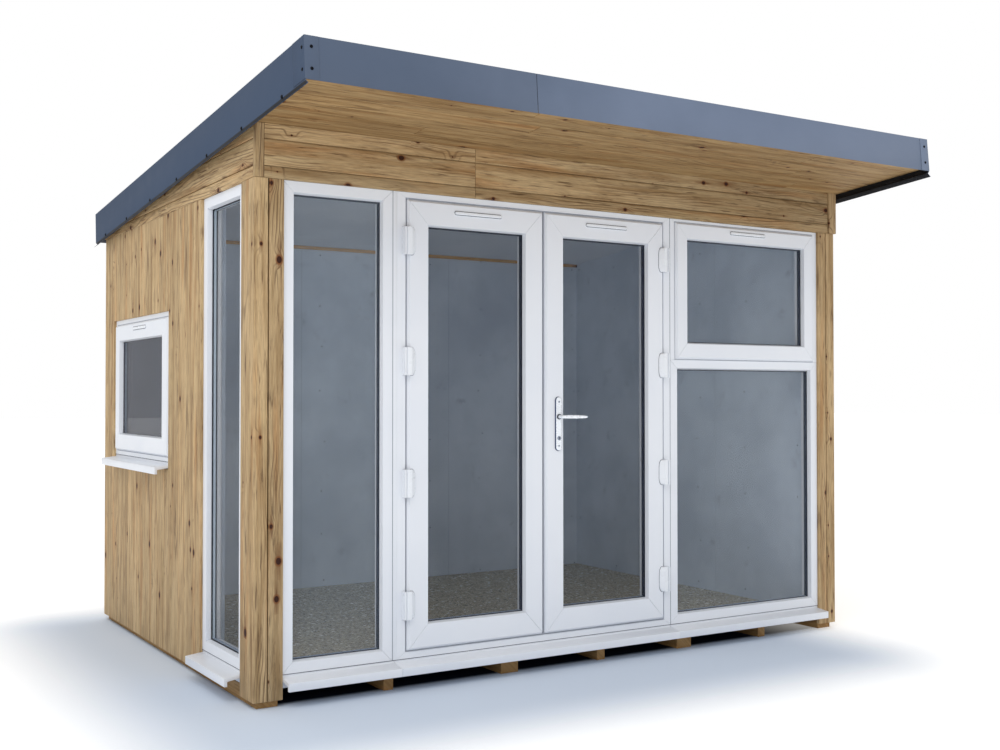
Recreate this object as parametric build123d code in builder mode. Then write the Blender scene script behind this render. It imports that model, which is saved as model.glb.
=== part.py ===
from build123d import *
import os
from math import cos, radians, sin, tan

# Garden office pod: an insulated timber room under a mono-pitch roof that overhangs the glazed front.
# Millimetres, +Z up, +X to the right along the front, +Y towards the back, ground at Z = 0.

# Overall
pod_width = 3235.0
pod_depth = 2313.0
roof_height = 2500.0
roof_slope = 4.85
front_overhang = 575.0
back_overhang = 97.0
side_overhang = 33.0

# Base
base_inset = 20.0
bearer_height = 66.0
bearer_width = 45.0
deck_thickness = 18.0
vinyl_thickness = 3.0
cassette_joints = (1198.0, 2206.0)

# Walls
cladding_thickness = 20.0
core_thickness = 80.0
lining_thickness = 12.0
cladding_bottom = 27.0

# Posts and boards on the front
post_face = 57.0
post_side = 152.0
groove_width = 5.0
groove_depth = 12.0
head_board_height = 49.0

# Roof
soffit_thickness = 16.0
panel_thickness = 122.0
membrane_thickness = 2.0
metal = 2.0
fascia_height = 160.0
flange_width = 45.0
fascia_joint = 1.5
fascia_joint_x = 946.0
side_face_height = 164.0
hem_inset = 8.0
hem_drop = 8.0
kick_reach = 10.0
kick_drop = 16.0
cap_metal = 1.5
cap_front = 55.0
cap_side = 105.0

# Window and door frames
frame_bottom = 122.0
frame_top = 2092.0
frame_recess = 12.0
frame_depth = 70.0
frame_face = 45.0
bevel_width = 6.0
bevel_depth = 20.0
edge_bevel_width = 9.0
edge_bevel_depth = 12.0
heel_bevel_width = 5.0
heel_bevel_depth = 20.0
glass_thickness = 24.0
glass_edge = 12.0
stop_width = 12.0
stop_depth = 10.0

# Glazed front, from left to right
left_reveal = 12.0
right_reveal = 6.0
fixed_width = 489.0
coupling_width = 20.0
door_set_width = 1482.0

# Doors
door_stile = 39.0
door_head = 22.0
door_threshold = 28.0
leaf_gap = 8.0
meeting_gap = 11.0
stop_gap = 5.0
leaf_depth = 70.0
leaf_stile = 96.0
leaf_rail = 104.0

# Top-hung opener over the fixed light on the right
transom_bottom = 1364.0
transom_height = 40.0
opener_stile_margin = 29.0
opener_head_margin = 12.0
opener_gap = 4.0
opener_stile = 68.0
opener_rail = 76.0

# Window beside the corner post, on the left side
side_light_width = 503.0

# Opening window in the left side
side_window_width = 993.0
side_window_to_back = 186.0
side_window_bottom = 914.0
side_window_height = 718.0
side_window_margin = 22.0
side_sash_stile = 80.0
side_sash_rail = 84.0

# Sills
sill_reach = 64.0
sill_block = 32.0
sill_step = 10.0
sill_fall = 9.0
sill_nose = 34.0
sill_thickness = 14.0
sill_joint = 1.0

# Hinges
hinge_height = 118.0
hinge_centres = (349.0, 861.0, 1375.0, 1884.0)
pin_radius = 4.0
pin_clearance = 0.05
barrel_radius = 8.5
pin_stand_off = 9.5
hinge_plate = 36.0
hinge_lap = 15.0
knuckle_gap = 1.0

# Door furniture
handle_height = 1134.0
handle_inset = 67.0
plate_width = 32.0
plate_height = 244.0
plate_thickness = 9.0
plate_drop = 32.0
neck_radius = 9.0
neck_clearance = 0.1
neck_length = 40.0
lever_length = 144.0
lever_height = 18.0
lever_thickness = 13.0
lever_gap = 0.5
spindle_side = 8.0
spindle_bore = 7.0

# Trickle vents
vent_width = 245.0
vent_height = 22.0
vent_thickness = 4.0
door_vent_drop = 42.0
window_vent_drop = 31.0

slope = radians(roof_slope)
wall_thickness = cladding_thickness + core_thickness + lining_thickness
left_reach = sill_reach
right_reach = side_overhang + metal + kick_reach
overall_width = left_reach + pod_width + right_reach
left_x = left_reach - overall_width / 2
right_x = left_x + pod_width
kick_depth = side_face_height + hem_drop + kick_drop
front_reach = front_overhang + kick_depth * sin(slope) + metal * cos(slope)
back_reach = back_overhang + metal * cos(slope)
overall_depth = front_reach + pod_depth + back_reach
front_y = front_reach - overall_depth / 2
back_y = front_y + pod_depth
roof_front_y = front_y - front_overhang
roof_back_y = back_y + back_overhang
roof_width = pod_width + 2 * side_overhang
roof_length = (roof_back_y - roof_front_y) / cos(slope)
roof_middle_x = (left_x + right_x) / 2
layers = metal + membrane_thickness + panel_thickness + soffit_thickness
floor_top = bearer_height + deck_thickness
fixed_x = left_x + wall_thickness + left_reveal
coupling_x = fixed_x + fixed_width
door_set_x = coupling_x + coupling_width
casement_x = door_set_x + door_set_width
glazing_end_x = right_x - wall_thickness - right_reveal
casement_width = glazing_end_x - casement_x
side_window_y = back_y - side_window_to_back - side_window_width
frame_y = front_y + frame_recess
frame_x = left_x + frame_recess
frame_height = frame_top - frame_bottom
glass_front = bevel_depth + 2.0
roof_plane = Plane(
    origin=(roof_middle_x, roof_front_y, roof_height), x_dir=(1, 0, 0), z_dir=(0, sin(slope), cos(slope))
)


def ceiling_height(y):
    """Height of the underside of the soffit and ceiling boards, level with the wall tops."""
    return roof_height - layers / cos(slope) - (y - roof_front_y) * tan(slope)


def save(piece, label):
    """Names a finished part and writes it as one STEP file."""
    piece.part.label = label
    export_step(piece.part, f"parts/{label}.step")


def slab(x0, x1, y0, y1, z0, z1, mode=Mode.ADD):
    """A box between two planes on each axis, in the part that is being built."""
    with BuildSketch(Plane.XY.offset(z0)) as outline:
        with Locations(((x0 + x1) / 2, (y0 + y1) / 2)):
            Rectangle(x1 - x0, y1 - y0)
    extrude(outline.sketch, amount=z1 - z0, mode=mode)


def side_profile(x0, thickness, corners):
    """A plate parallel to the side walls, from its corners in Y and Z."""
    with BuildSketch(Plane.YZ.offset(x0)) as outline:
        with BuildLine():
            Polyline(*corners, close=True)
        make_face()
    extrude(outline.sketch, amount=thickness)


def under_roof(y0, y1, z0):
    """Corners in Y and Z of a wall that runs up to the sloping ceiling."""
    return [(y0, z0), (y1, z0), (y1, ceiling_height(y1)), (y0, ceiling_height(y0))]


def roof_sheet(u0, u1, v0, v1, w0, w1):
    """A plate in the roof's slope: u across the front, v down the slope to the back, w below the top."""
    with BuildSketch(roof_plane.offset(w0)) as outline:
        with Locations(((u0 + u1) / 2, (v0 + v1) / 2)):
            Rectangle(u1 - u0, v1 - v0)
    extrude(outline.sketch, amount=w1 - w0)


def rectangle_on(plane, width, height, margin_x, margin_y):
    """A rectangle inset from a frame's outline, drawn on the frame's plane."""
    with BuildSketch(plane) as outline:
        with Locations((width / 2, height / 2)):
            Rectangle(width - 2 * margin_x, height - 2 * margin_y)
    return outline.sketch


def cut_light(plane, width, height, face_x, face_y, depth):
    """Cuts a glazed light: an opening with a bevel towards the outside and a groove for the glass."""
    sight_x = face_x + bevel_width
    sight_y = face_y + bevel_width
    extrude(rectangle_on(plane, width, height, sight_x, sight_y), amount=-depth, mode=Mode.SUBTRACT)
    mouth = rectangle_on(plane, width, height, face_x, face_y)
    throat = rectangle_on(plane.offset(-bevel_depth), width, height, sight_x, sight_y)
    loft([mouth, throat], mode=Mode.SUBTRACT)
    pane(plane, width, height, face_x, face_y, Mode.SUBTRACT)


def pane(plane, width, height, face_x, face_y, mode=Mode.ADD):
    """The sealed glass unit of a light, or the groove that holds its edges."""
    edge_x = face_x + bevel_width - glass_edge
    edge_y = face_y + bevel_width - glass_edge
    outline = rectangle_on(plane.offset(-glass_front), width, height, edge_x, edge_y)
    extrude(outline, amount=-glass_thickness, mode=mode)


def fixed_frame(plane, width, height):
    """A frame with fixed glass."""
    extrude(rectangle_on(plane, width, height, 0, 0), amount=-frame_depth)
    cut_light(plane, width, height, frame_face, frame_face, frame_depth)


def sash(plane, width, height, face_x, face_y, depth):
    """A door leaf or window sash: its outer edge is bevelled front and back, and it holds one light."""
    crown = rectangle_on(plane, width, height, edge_bevel_width, edge_bevel_width)
    front = rectangle_on(plane.offset(-edge_bevel_depth), width, height, 0, 0)
    waist = rectangle_on(plane.offset(heel_bevel_depth - depth), width, height, 0, 0)
    heel = rectangle_on(plane.offset(-depth), width, height, heel_bevel_width, heel_bevel_width)
    loft([crown, front, waist, heel], ruled=True)
    cut_light(plane, width, height, face_x, face_y, depth)


def front_plane(x, y, z):
    """A plane facing the front, with its origin at a frame's lower left corner."""
    return Plane(origin=(x, y, z), x_dir=(1, 0, 0), z_dir=(0, -1, 0))


def left_plane(x, y, z):
    """A plane facing left, with its origin at a frame's lower back corner and its x axis running forward."""
    return Plane(origin=(x, y, z), x_dir=(0, -1, 0), z_dir=(-1, 0, 0))


def base():
    """Bearers on the ground, the deck on them and the vinyl floor inside the walls."""
    y0 = front_y + base_inset
    y1 = back_y - base_inset
    x0 = left_x + base_inset
    x1 = right_x - base_inset
    with BuildPart() as floor_bearers:
        slab(x0, x0 + 2 * bearer_width, y0, y1, 0, bearer_height)
        slab(x1 - 2 * bearer_width, x1, y0, y1, 0, bearer_height)
        for x in (left_x + joint for joint in cassette_joints):
            slab(x - bearer_width, x + bearer_width, y0, y1, 0, bearer_height)
        cassette_ends = [left_x, *(left_x + joint for joint in cassette_joints), right_x]
        for start, end in zip(cassette_ends, cassette_ends[1:]):
            middle = (start + end) / 2
            slab(middle - bearer_width / 2, middle + bearer_width / 2, y0, y1, 0, bearer_height)
    save(floor_bearers, "floor_bearers")

    with BuildPart() as floor_deck:
        slab(x0, x1, y0, y1, bearer_height, floor_top)
    save(floor_deck, "floor_deck")

    with BuildPart() as floor_covering:
        inner = frame_depth + frame_recess + stop_depth + stop_gap
        z0 = floor_top
        z1 = floor_top + vinyl_thickness
        x0 = left_x + wall_thickness
        x1 = right_x - wall_thickness
        slab(x0, x1, front_y + wall_thickness, back_y - wall_thickness, z0, z1)
        slab(fixed_x, glazing_end_x, front_y + inner, front_y + wall_thickness, z0, z1)
        slab(left_x + inner, x0, front_y + post_side, side_light_back(), z0, z1)
    save(floor_covering, "floor_covering")


def side_light_back():
    """Y of the back edge of the window beside the left corner post."""
    return front_y + post_side + side_light_width


def side_wall(start, y0, y1):
    """Corners in Y and Z of a side wall's layer: full height from start back, and a header in front of it."""
    corners = [(start, floor_top), (y1, floor_top), (y1, ceiling_height(y1))]
    return corners + [(y0, ceiling_height(y0)), (y0, frame_top), (start, frame_top)]


def cut_window_opening(x0, thickness):
    """Cuts the side window's opening, with room for its sill, through a layer of the left wall."""
    y = side_window_y + side_window_width / 2
    z0 = side_window_bottom - sill_block
    z1 = side_window_bottom + side_window_height
    with BuildSketch(Plane.YZ.offset(x0)) as outline:
        with Locations((y, (z0 + z1) / 2)):
            Rectangle(side_window_width, z1 - z0)
    extrude(outline.sketch, amount=thickness, mode=Mode.SUBTRACT)


def walls():
    """Framed cores, outside cladding and inside lining of the four walls."""
    skin = cladding_thickness
    core_y0 = front_y + wall_thickness
    core_y1 = back_y - skin - core_thickness

    with BuildPart() as back_wall_core:
        side_profile(left_x + skin, pod_width - 2 * skin, under_roof(core_y1, back_y - skin, floor_top))
    save(back_wall_core, "back_wall_core")

    with BuildPart() as right_wall_core:
        corners = side_wall(front_y + post_side, core_y0, core_y1)
        side_profile(right_x - skin - core_thickness, core_thickness, corners)
    save(right_wall_core, "right_wall_core")

    with BuildPart() as left_wall_core:
        side_profile(left_x + skin, core_thickness, side_wall(side_light_back(), core_y0, core_y1))
        cut_window_opening(left_x + skin, core_thickness)
    save(left_wall_core, "left_wall_core")

    with BuildPart() as front_header:
        side_profile(left_x + skin, pod_width - 2 * skin, under_roof(front_y + skin, core_y0, frame_top))
    save(front_header, "front_header")

    with BuildPart() as back_cladding:
        side_profile(left_x + skin, pod_width - 2 * skin, under_roof(back_y - skin, back_y, cladding_bottom))
    save(back_cladding, "back_cladding")

    with BuildPart() as left_cladding:
        y0 = side_light_back()
        side_profile(left_x, skin, under_roof(y0, back_y, cladding_bottom))
        slab(left_x, left_x + skin, y0, back_y, frame_top, roof_height, mode=Mode.SUBTRACT)
        cut_window_opening(left_x, skin)
    save(left_cladding, "left_cladding")

    with BuildPart() as right_cladding:
        y0 = front_y + post_side
        side_profile(right_x - skin, skin, under_roof(y0, back_y, cladding_bottom))
        slab(right_x - skin, right_x, y0, back_y, frame_top, roof_height, mode=Mode.SUBTRACT)
    save(right_cladding, "right_cladding")

    with BuildPart() as gable_boards:
        for x0 in (left_x, right_x - skin):
            side_profile(x0, skin, under_roof(front_y, back_y, cladding_bottom))
            slab(x0, x0 + skin, front_y, back_y, cladding_bottom, frame_top, mode=Mode.SUBTRACT)
    save(gable_boards, "gable_boards")

    with BuildPart() as head_boards:
        z0 = frame_top + head_board_height
        side_profile(left_x + skin, pod_width - 2 * skin, under_roof(front_y, front_y + skin, z0))
    save(head_boards, "head_boards")

    with BuildPart() as lintel_board:
        slab(left_x + skin, right_x - skin, front_y, front_y + skin, frame_top, frame_top + head_board_height)
    save(lintel_board, "lintel_board")


def linings():
    """Painted boards inside the back, left and right walls."""
    inner_left = left_x + wall_thickness
    inner_right = right_x - wall_thickness
    y0 = front_y + wall_thickness
    y1 = back_y - wall_thickness
    with BuildPart() as back_lining:
        x0 = inner_left - lining_thickness
        width = inner_right + lining_thickness - x0
        side_profile(x0, width, under_roof(y1, y1 + lining_thickness, floor_top))
    save(back_lining, "back_lining")

    with BuildPart() as left_lining:
        x0 = inner_left - lining_thickness
        side_profile(x0, lining_thickness, side_wall(side_light_back(), y0, y1))
        cut_window_opening(x0, lining_thickness)
    save(left_lining, "left_lining")

    with BuildPart() as right_lining:
        side_profile(inner_right, lining_thickness, side_wall(front_y + post_side, y0, y1))
    save(right_lining, "right_lining")


def corner_post(side, name):
    """A corner post: boards on both outer faces over a core that stands on the deck.

    A groove shows between its front board and the flat board beside the glazing.
    """
    outer = left_x if side < 0 else right_x
    groove_back = front_y + cladding_thickness + groove_depth

    def across(inset0, inset1, y0, y1, z0):
        ends = sorted((outer - side * inset0, outer - side * inset1))
        slab(*ends, y0, y1, z0, frame_top)

    with BuildPart() as post:
        across(0, post_face, front_y, front_y + cladding_thickness, cladding_bottom)
        across(0, cladding_thickness, front_y, front_y + post_side, cladding_bottom)
        across(cladding_thickness, post_face, front_y + cladding_thickness, groove_back, floor_top)
        across(cladding_thickness, wall_thickness, groove_back, front_y + post_side, floor_top)
    save(post, name)


def posts():
    """Corner posts, and the flat boards between them and the glazing."""
    corner_post(-1, "left_corner_post")
    corner_post(1, "right_corner_post")
    groove_back = front_y + cladding_thickness + groove_depth
    edges = {
        "left_front_board": (left_x + post_face + groove_width, fixed_x),
        "right_front_board": (glazing_end_x, right_x - post_face - groove_width),
    }
    for name, (x0, x1) in edges.items():
        with BuildPart() as board:
            slab(x0, x1, front_y, front_y + cladding_thickness, cladding_bottom, frame_top)
            slab(x0, x1, front_y + cladding_thickness, groove_back, floor_top, frame_top)
            if name == "left_front_board":
                slab(left_x + wall_thickness, x1, groove_back, front_y + wall_thickness, floor_top, frame_top)
        save(board, name)


def roof():
    """Roof panel with its covering, soffit and ceiling, and the metal edge trims."""
    half = roof_width / 2
    soffit_top = -(metal + membrane_thickness + panel_thickness)
    room_half = pod_width / 2 - wall_thickness
    room_v0 = (front_y + wall_thickness - roof_front_y) / cos(slope)
    room_v1 = (back_y - wall_thickness - roof_front_y) / cos(slope)

    with BuildPart() as roof_panel:
        roof_sheet(-half, half, 0, roof_length, soffit_top, -metal - membrane_thickness)
    save(roof_panel, "roof_panel")

    with BuildPart() as roof_membrane:
        roof_sheet(-half, half, 0, roof_length, -metal - membrane_thickness, -metal)
    save(roof_membrane, "roof_membrane")

    with BuildPart() as soffit_boards:
        roof_sheet(-half, half, 0, roof_length, -layers, soffit_top)
        with BuildSketch(roof_plane.offset(-layers)):
            with Locations((0, (room_v0 + room_v1) / 2)):
                Rectangle(2 * room_half, room_v1 - room_v0)
        extrude(amount=soffit_thickness, mode=Mode.SUBTRACT)
    save(soffit_boards, "soffit_boards")

    with BuildPart() as ceiling_boards:
        roof_sheet(-room_half, room_half, room_v0, room_v1, -layers, soffit_top)
    save(ceiling_boards, "ceiling_boards")


def edge_trims():
    """Folded metal trims round the roof's edge, each a face with a flange over the top, and corner caps."""
    half = roof_width / 2
    joint = left_x + fascia_joint_x - roof_middle_x
    with BuildPart() as front_fascia:
        for side in (-1, 1):
            start = joint + side * fascia_joint / 2
            u0, u1 = sorted((start, side * half))
            roof_sheet(u0, u1, -metal, 0, -fascia_height, -metal)
            u0, u1 = sorted((start, side * (half - flange_width)))
            roof_sheet(u0, u1, -metal, flange_width, -metal, 0)
    save(front_fascia, "front_fascia")

    with BuildPart() as back_fascia:
        roof_sheet(-half, half, roof_length, roof_length + metal, -fascia_height, -metal)
        flange = half - flange_width
        roof_sheet(-flange, flange, roof_length - flange_width, roof_length + metal, -metal, 0)
    save(back_fascia, "back_fascia")

    end_plane = Plane(
        origin=roof_plane.from_local_coords((0, -metal, 0)), x_dir=(1, 0, 0), z_dir=-roof_plane.y_dir
    )
    for name, side in (("left_fascia", -1), ("right_fascia", 1)):
        outer = half + metal
        hem = side_face_height + hem_drop
        profile = [(half - flange_width, 0), (outer, 0), (outer, -side_face_height)]
        profile += [(outer - hem_inset, -hem), (outer + kick_reach, -hem - kick_drop)]
        profile += [(outer + kick_reach - metal, -hem - kick_drop), (half - hem_inset - metal, -hem)]
        profile += [(half, -side_face_height + metal), (half, -metal), (half - flange_width, -metal)]
        with BuildPart() as side_fascia:
            with BuildSketch(end_plane) as section:
                with BuildLine():
                    Polyline(*[(side * u, w) for u, w in profile], close=True)
                make_face()
            extrude(section.sketch, amount=-(roof_length + 2 * metal))
        save(side_fascia, name)

    with BuildPart() as corner_caps:
        outer = half + metal + cap_metal
        for side in (-1, 1):
            u0, u1 = sorted((side * outer, side * (outer - cap_front)))
            roof_sheet(u0, u1, -metal - cap_metal, -metal, -fascia_height, 0)
            u0, u1 = sorted((side * outer, side * (half + metal)))
            roof_sheet(u0, u1, -metal, cap_side, -fascia_height, 0)
    save(corner_caps, "corner_caps")


def glass(name, plane, width, height, face_x, face_y):
    """One sealed glass unit as a part of its own."""
    with BuildPart() as unit:
        pane(plane, width, height, face_x, face_y)
    save(unit, name)


def fixed_lights():
    """The fixed light left of the doors and the one beside the corner post."""
    places = {
        "fixed_light": (front_plane(fixed_x, frame_y, frame_bottom), fixed_width),
        "side_light": (left_plane(frame_x, side_light_back(), frame_bottom), side_light_width),
    }
    for name, (plane, width) in places.items():
        with BuildPart() as frame:
            fixed_frame(plane, width, frame_height)
        save(frame, f"{name}_frame")
        glass(f"{name}_glass", plane, width, frame_height, frame_face, frame_face)

    with BuildPart() as coupling_post:
        y1 = frame_y + frame_depth
        slab(coupling_x, door_set_x, frame_y, y1, frame_bottom, frame_top)
    save(coupling_post, "coupling_post")


def leaf_size():
    """Width and height of each door leaf."""
    width = (door_set_width - 2 * door_stile - 2 * leaf_gap - meeting_gap) / 2
    height = frame_height - door_head - door_threshold - 2 * leaf_gap
    return width, height


def doors():
    """The door frame with its stops, and a pair of glazed leaves that open outward."""
    plane = front_plane(door_set_x, frame_y, frame_bottom)
    stop_front = leaf_depth - frame_recess + stop_gap
    depth = stop_front + stop_depth
    width = door_set_width - 2 * door_stile
    height = frame_height - door_head - door_threshold
    with BuildPart() as door_frame:
        extrude(rectangle_on(plane, door_set_width, frame_height, 0, 0), amount=-depth)
        opening = front_plane(door_set_x + door_stile, frame_y, frame_bottom + door_threshold)
        extrude(rectangle_on(opening, width, height, 0, 0), amount=-stop_front, mode=Mode.SUBTRACT)
        inside = rectangle_on(opening, width, height, leaf_gap + stop_width, leaf_gap + stop_width)
        extrude(inside, amount=-depth, mode=Mode.SUBTRACT)
    save(door_frame, "door_frame")

    leaf_width, leaf_height = leaf_size()
    z = frame_bottom + door_threshold + leaf_gap
    left = door_set_x + door_stile + leaf_gap
    for name, x in (("left_door", left), ("right_door", left + leaf_width + meeting_gap)):
        plane = front_plane(x, front_y, z)
        with BuildPart() as leaf:
            sash(plane, leaf_width, leaf_height, leaf_stile, leaf_rail, leaf_depth)
            if name == "right_door":
                with BuildSketch(front_plane(x + handle_inset, front_y, handle_height)) as bore:
                    Circle(spindle_bore)
                extrude(bore.sketch, amount=-leaf_depth, mode=Mode.SUBTRACT)
        save(leaf, f"{name}_leaf")
        glass(f"{name}_glass", plane, leaf_width, leaf_height, leaf_stile, leaf_rail)


def opening_for_sash(plane, width, height, gap, sash_depth, frame_back):
    """Cuts a sash's opening in its frame and leaves the stop that the sash closes against."""
    extrude(rectangle_on(plane, width, height, 0, 0), amount=-sash_depth, mode=Mode.SUBTRACT)
    inside = rectangle_on(plane, width, height, gap + stop_width, gap + stop_width)
    extrude(inside, amount=-frame_back, mode=Mode.SUBTRACT)


def casement():
    """The right-hand unit: a top-hung opener above a transom, and a fixed light below it."""
    plane = front_plane(casement_x, frame_y, frame_bottom)
    sash_back = frame_depth - stop_depth
    lower_height = transom_bottom + frame_face - frame_bottom
    opening_z = transom_bottom + transom_height
    width = casement_width - 2 * opener_stile_margin
    height = frame_top - opener_head_margin - opening_z
    opening = front_plane(casement_x + opener_stile_margin, frame_y, opening_z)
    with BuildPart() as casement_frame:
        extrude(rectangle_on(plane, casement_width, frame_height, 0, 0), amount=-frame_depth)
        cut_light(plane, casement_width, lower_height, frame_face, frame_face, frame_depth)
        opening_for_sash(opening, width, height, opener_gap, sash_back, frame_depth)
    save(casement_frame, "casement_frame")
    glass("lower_light_glass", plane, casement_width, lower_height, frame_face, frame_face)

    sash_width = width - 2 * opener_gap
    sash_height = height - 2 * opener_gap
    place = front_plane(casement_x + opener_stile_margin + opener_gap, front_y, opening_z + opener_gap)
    with BuildPart() as opener_sash:
        sash(place, sash_width, sash_height, opener_stile, opener_rail, sash_back + frame_recess)
    save(opener_sash, "opener_sash")
    glass("opener_glass", place, sash_width, sash_height, opener_stile, opener_rail)


def side_window():
    """The opening window in the left side, set in the wall and resting on its sill."""
    back = side_window_y + side_window_width
    plane = left_plane(frame_x, back, side_window_bottom)
    sash_back = frame_depth - stop_depth
    width = side_window_width - 2 * side_window_margin
    height = side_window_height - 2 * side_window_margin
    opening = left_plane(frame_x, back - side_window_margin, side_window_bottom + side_window_margin)
    with BuildPart() as side_window_frame:
        extrude(rectangle_on(plane, side_window_width, side_window_height, 0, 0), amount=-frame_depth)
        opening_for_sash(opening, width, height, opener_gap, sash_back, frame_depth)
    save(side_window_frame, "side_window_frame")

    inset = side_window_margin + opener_gap
    place = left_plane(left_x, back - inset, side_window_bottom + inset)
    sash_width = width - 2 * opener_gap
    sash_height = height - 2 * opener_gap
    with BuildPart() as side_window_sash:
        sash(place, sash_width, sash_height, side_sash_stile, side_sash_rail, sash_back + frame_recess)
    save(side_window_sash, "side_window_sash")
    glass("side_window_glass", place, sash_width, sash_height, side_sash_stile, side_sash_rail)


def sill_section(plane):
    """A sill's section: x points out from the cladding's face, y up from the frame's underside."""
    back = -frame_recess - frame_depth
    lip = -frame_recess + sill_joint
    top = -sill_step
    nose_top = top - sill_fall
    nose_bottom = nose_top - sill_nose
    under = nose_top - sill_thickness
    with BuildSketch(plane) as section:
        with BuildLine():
            Polyline(
                (back, 0),
                (-frame_recess - sill_joint, 0),
                (-frame_recess - sill_joint, top),
                (lip, top),
                (sill_reach, nose_top),
                (sill_reach, nose_bottom),
                (sill_reach - sill_thickness, nose_bottom),
                (sill_reach - sill_thickness, under),
                (0, under + sill_fall * sill_reach / (sill_reach + frame_recess)),
                (-cladding_thickness, under + sill_fall),
                (-cladding_thickness, -sill_block),
                (back, -sill_block),
                close=True,
            )
        make_face()
    return section.sketch


def sills():
    """Projecting sills under the glazed front, the side light and the side window."""
    with BuildPart() as front_sills:
        joints = [fixed_x, coupling_x + coupling_width / 2, casement_x, glazing_end_x]
        for x0, x1 in zip(joints, joints[1:]):
            start = x0 + (sill_joint / 2 if x0 > fixed_x else 0)
            end = x1 - (sill_joint / 2 if x1 < glazing_end_x else 0)
            plane = Plane(origin=(end, front_y, frame_bottom), x_dir=(0, -1, 0), z_dir=(-1, 0, 0))
            extrude(sill_section(plane), amount=end - start)
    save(front_sills, "front_sills")

    places = {
        "side_light_sill": (front_y + post_side, side_light_width, frame_bottom),
        "side_window_sill": (side_window_y, side_window_width, side_window_bottom),
    }
    for name, (y, width, z) in places.items():
        plane = Plane(origin=(left_x, y, z), x_dir=(-1, 0, 0), z_dir=(0, 1, 0))
        with BuildPart() as sill:
            extrude(sill_section(plane), amount=width)
        save(sill, name)


def hinge_axes():
    """Side and X of the two rows of hinge pins. The left doors turn on the left row."""
    inset = door_stile + leaf_gap / 2
    return ((-1, door_set_x + inset), (1, casement_x - inset))


def hinges():
    """Four flag hinges a side: the frame's half carries the pin and the leaf's half turns on it."""
    pin_y = front_y - pin_stand_off
    half = hinge_height / 2
    with BuildPart() as frame_hinges:
        for side, x in hinge_axes():
            for z in hinge_centres:
                with BuildSketch(Plane.XY.offset(z - half)) as barrel:
                    with Locations((x, pin_y)):
                        Circle(barrel_radius)
                extrude(barrel.sketch, amount=half - knuckle_gap)
                u0, u1 = sorted((x, x + side * hinge_lap))
                slab(u0, u1, pin_y, frame_y, z - half, z - knuckle_gap)
                with BuildSketch(Plane.XY.offset(z - half)) as pin:
                    with Locations((x, pin_y)):
                        Circle(pin_radius)
                extrude(pin.sketch, amount=hinge_height)
    save(frame_hinges, "frame_hinges")

    for name, (side, x) in zip(("left_door_hinges", "right_door_hinges"), hinge_axes()):
        with BuildPart() as leaf_hinges:
            for z in hinge_centres:
                with BuildSketch(Plane.XY.offset(z)) as barrel:
                    with Locations((x, pin_y)):
                        Circle(barrel_radius)
                        Circle(pin_radius + pin_clearance, mode=Mode.SUBTRACT)
                extrude(barrel.sketch, amount=half)
                u0, u1 = sorted((x - side * (barrel_radius - 1), x - side * hinge_plate))
                slab(u0, u1, front_y - pin_stand_off, front_y, z, z + half)
        save(leaf_hinges, name)


def furniture():
    """Handle plates on both faces of the right-hand leaf, and the lever that turns in them."""
    leaf_width = leaf_size()[0]
    x = door_set_x + door_stile + leaf_gap + leaf_width + meeting_gap + handle_inset
    faces = ((-1, front_y), (1, front_y + leaf_depth))
    with BuildPart() as handle_plates:
        for side, y in faces:
            plane = front_plane(x, y, handle_height - plate_drop)
            with BuildSketch(plane) as outline:
                SlotOverall(plate_height, plate_width, rotation=90)
                with Locations((0, plate_drop)):
                    Circle(neck_radius + neck_clearance, mode=Mode.SUBTRACT)
            extrude(outline.sketch, amount=-side * plate_thickness)
    save(handle_plates, "handle_plates")

    with BuildPart() as door_lever:
        reach = plate_thickness + neck_length
        axis = front_plane(x, front_y, handle_height)
        with BuildSketch(axis.offset(reach)) as spindle:
            Rectangle(spindle_side, spindle_side)
        extrude(spindle.sketch, amount=-(leaf_depth + 2 * reach))
        for side, y in faces:
            plane = front_plane(x, y, handle_height)
            with BuildSketch(plane.offset(-side * lever_gap)) as neck:
                Circle(neck_radius)
            extrude(neck.sketch, amount=-side * (reach - lever_gap))
            with BuildSketch(plane.offset(-side * reach)) as grip:
                with Locations((lever_length / 2 - lever_height / 2, 0)):
                    SlotOverall(lever_length, lever_height)
            extrude(grip.sketch, amount=side * lever_thickness)
    save(door_lever, "door_lever")


def vent(plane, width, height, drop):
    """A trickle vent's cover on the head of a sash."""
    with BuildSketch(plane) as outline:
        with Locations((width / 2, height - drop)):
            SlotOverall(vent_width, vent_height)
    extrude(outline.sketch, amount=vent_thickness)


def vents():
    """Vent covers on the door leaves, the opener and the side window."""
    leaf_width, leaf_height = leaf_size()
    z = frame_bottom + door_threshold + leaf_gap
    left = door_set_x + door_stile + leaf_gap
    for name, x in (("left_door_vent", left), ("right_door_vent", left + leaf_width + meeting_gap)):
        with BuildPart() as door_vent:
            vent(front_plane(x, front_y, z), leaf_width, leaf_height, door_vent_drop)
        save(door_vent, name)

    with BuildPart() as window_vents:
        plane = front_plane(casement_x, front_y, frame_bottom)
        head = frame_top - opener_head_margin - opener_gap - frame_bottom
        vent(plane, casement_width, head, window_vent_drop)
        plane = left_plane(left_x, side_window_y + side_window_width, side_window_bottom)
        head = side_window_height - side_window_margin - opener_gap
        vent(plane, side_window_width, head, window_vent_drop)
    save(window_vents, "window_vents")


os.makedirs("parts", exist_ok=True)
base()
walls()
linings()
posts()
roof()
edge_trims()
fixed_lights()
doors()
casement()
side_window()
sills()
hinges()
furniture()
vents()
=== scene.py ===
"""Garden office pod: boards, frames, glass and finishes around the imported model, in soft studio light."""

import math
import random

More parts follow.
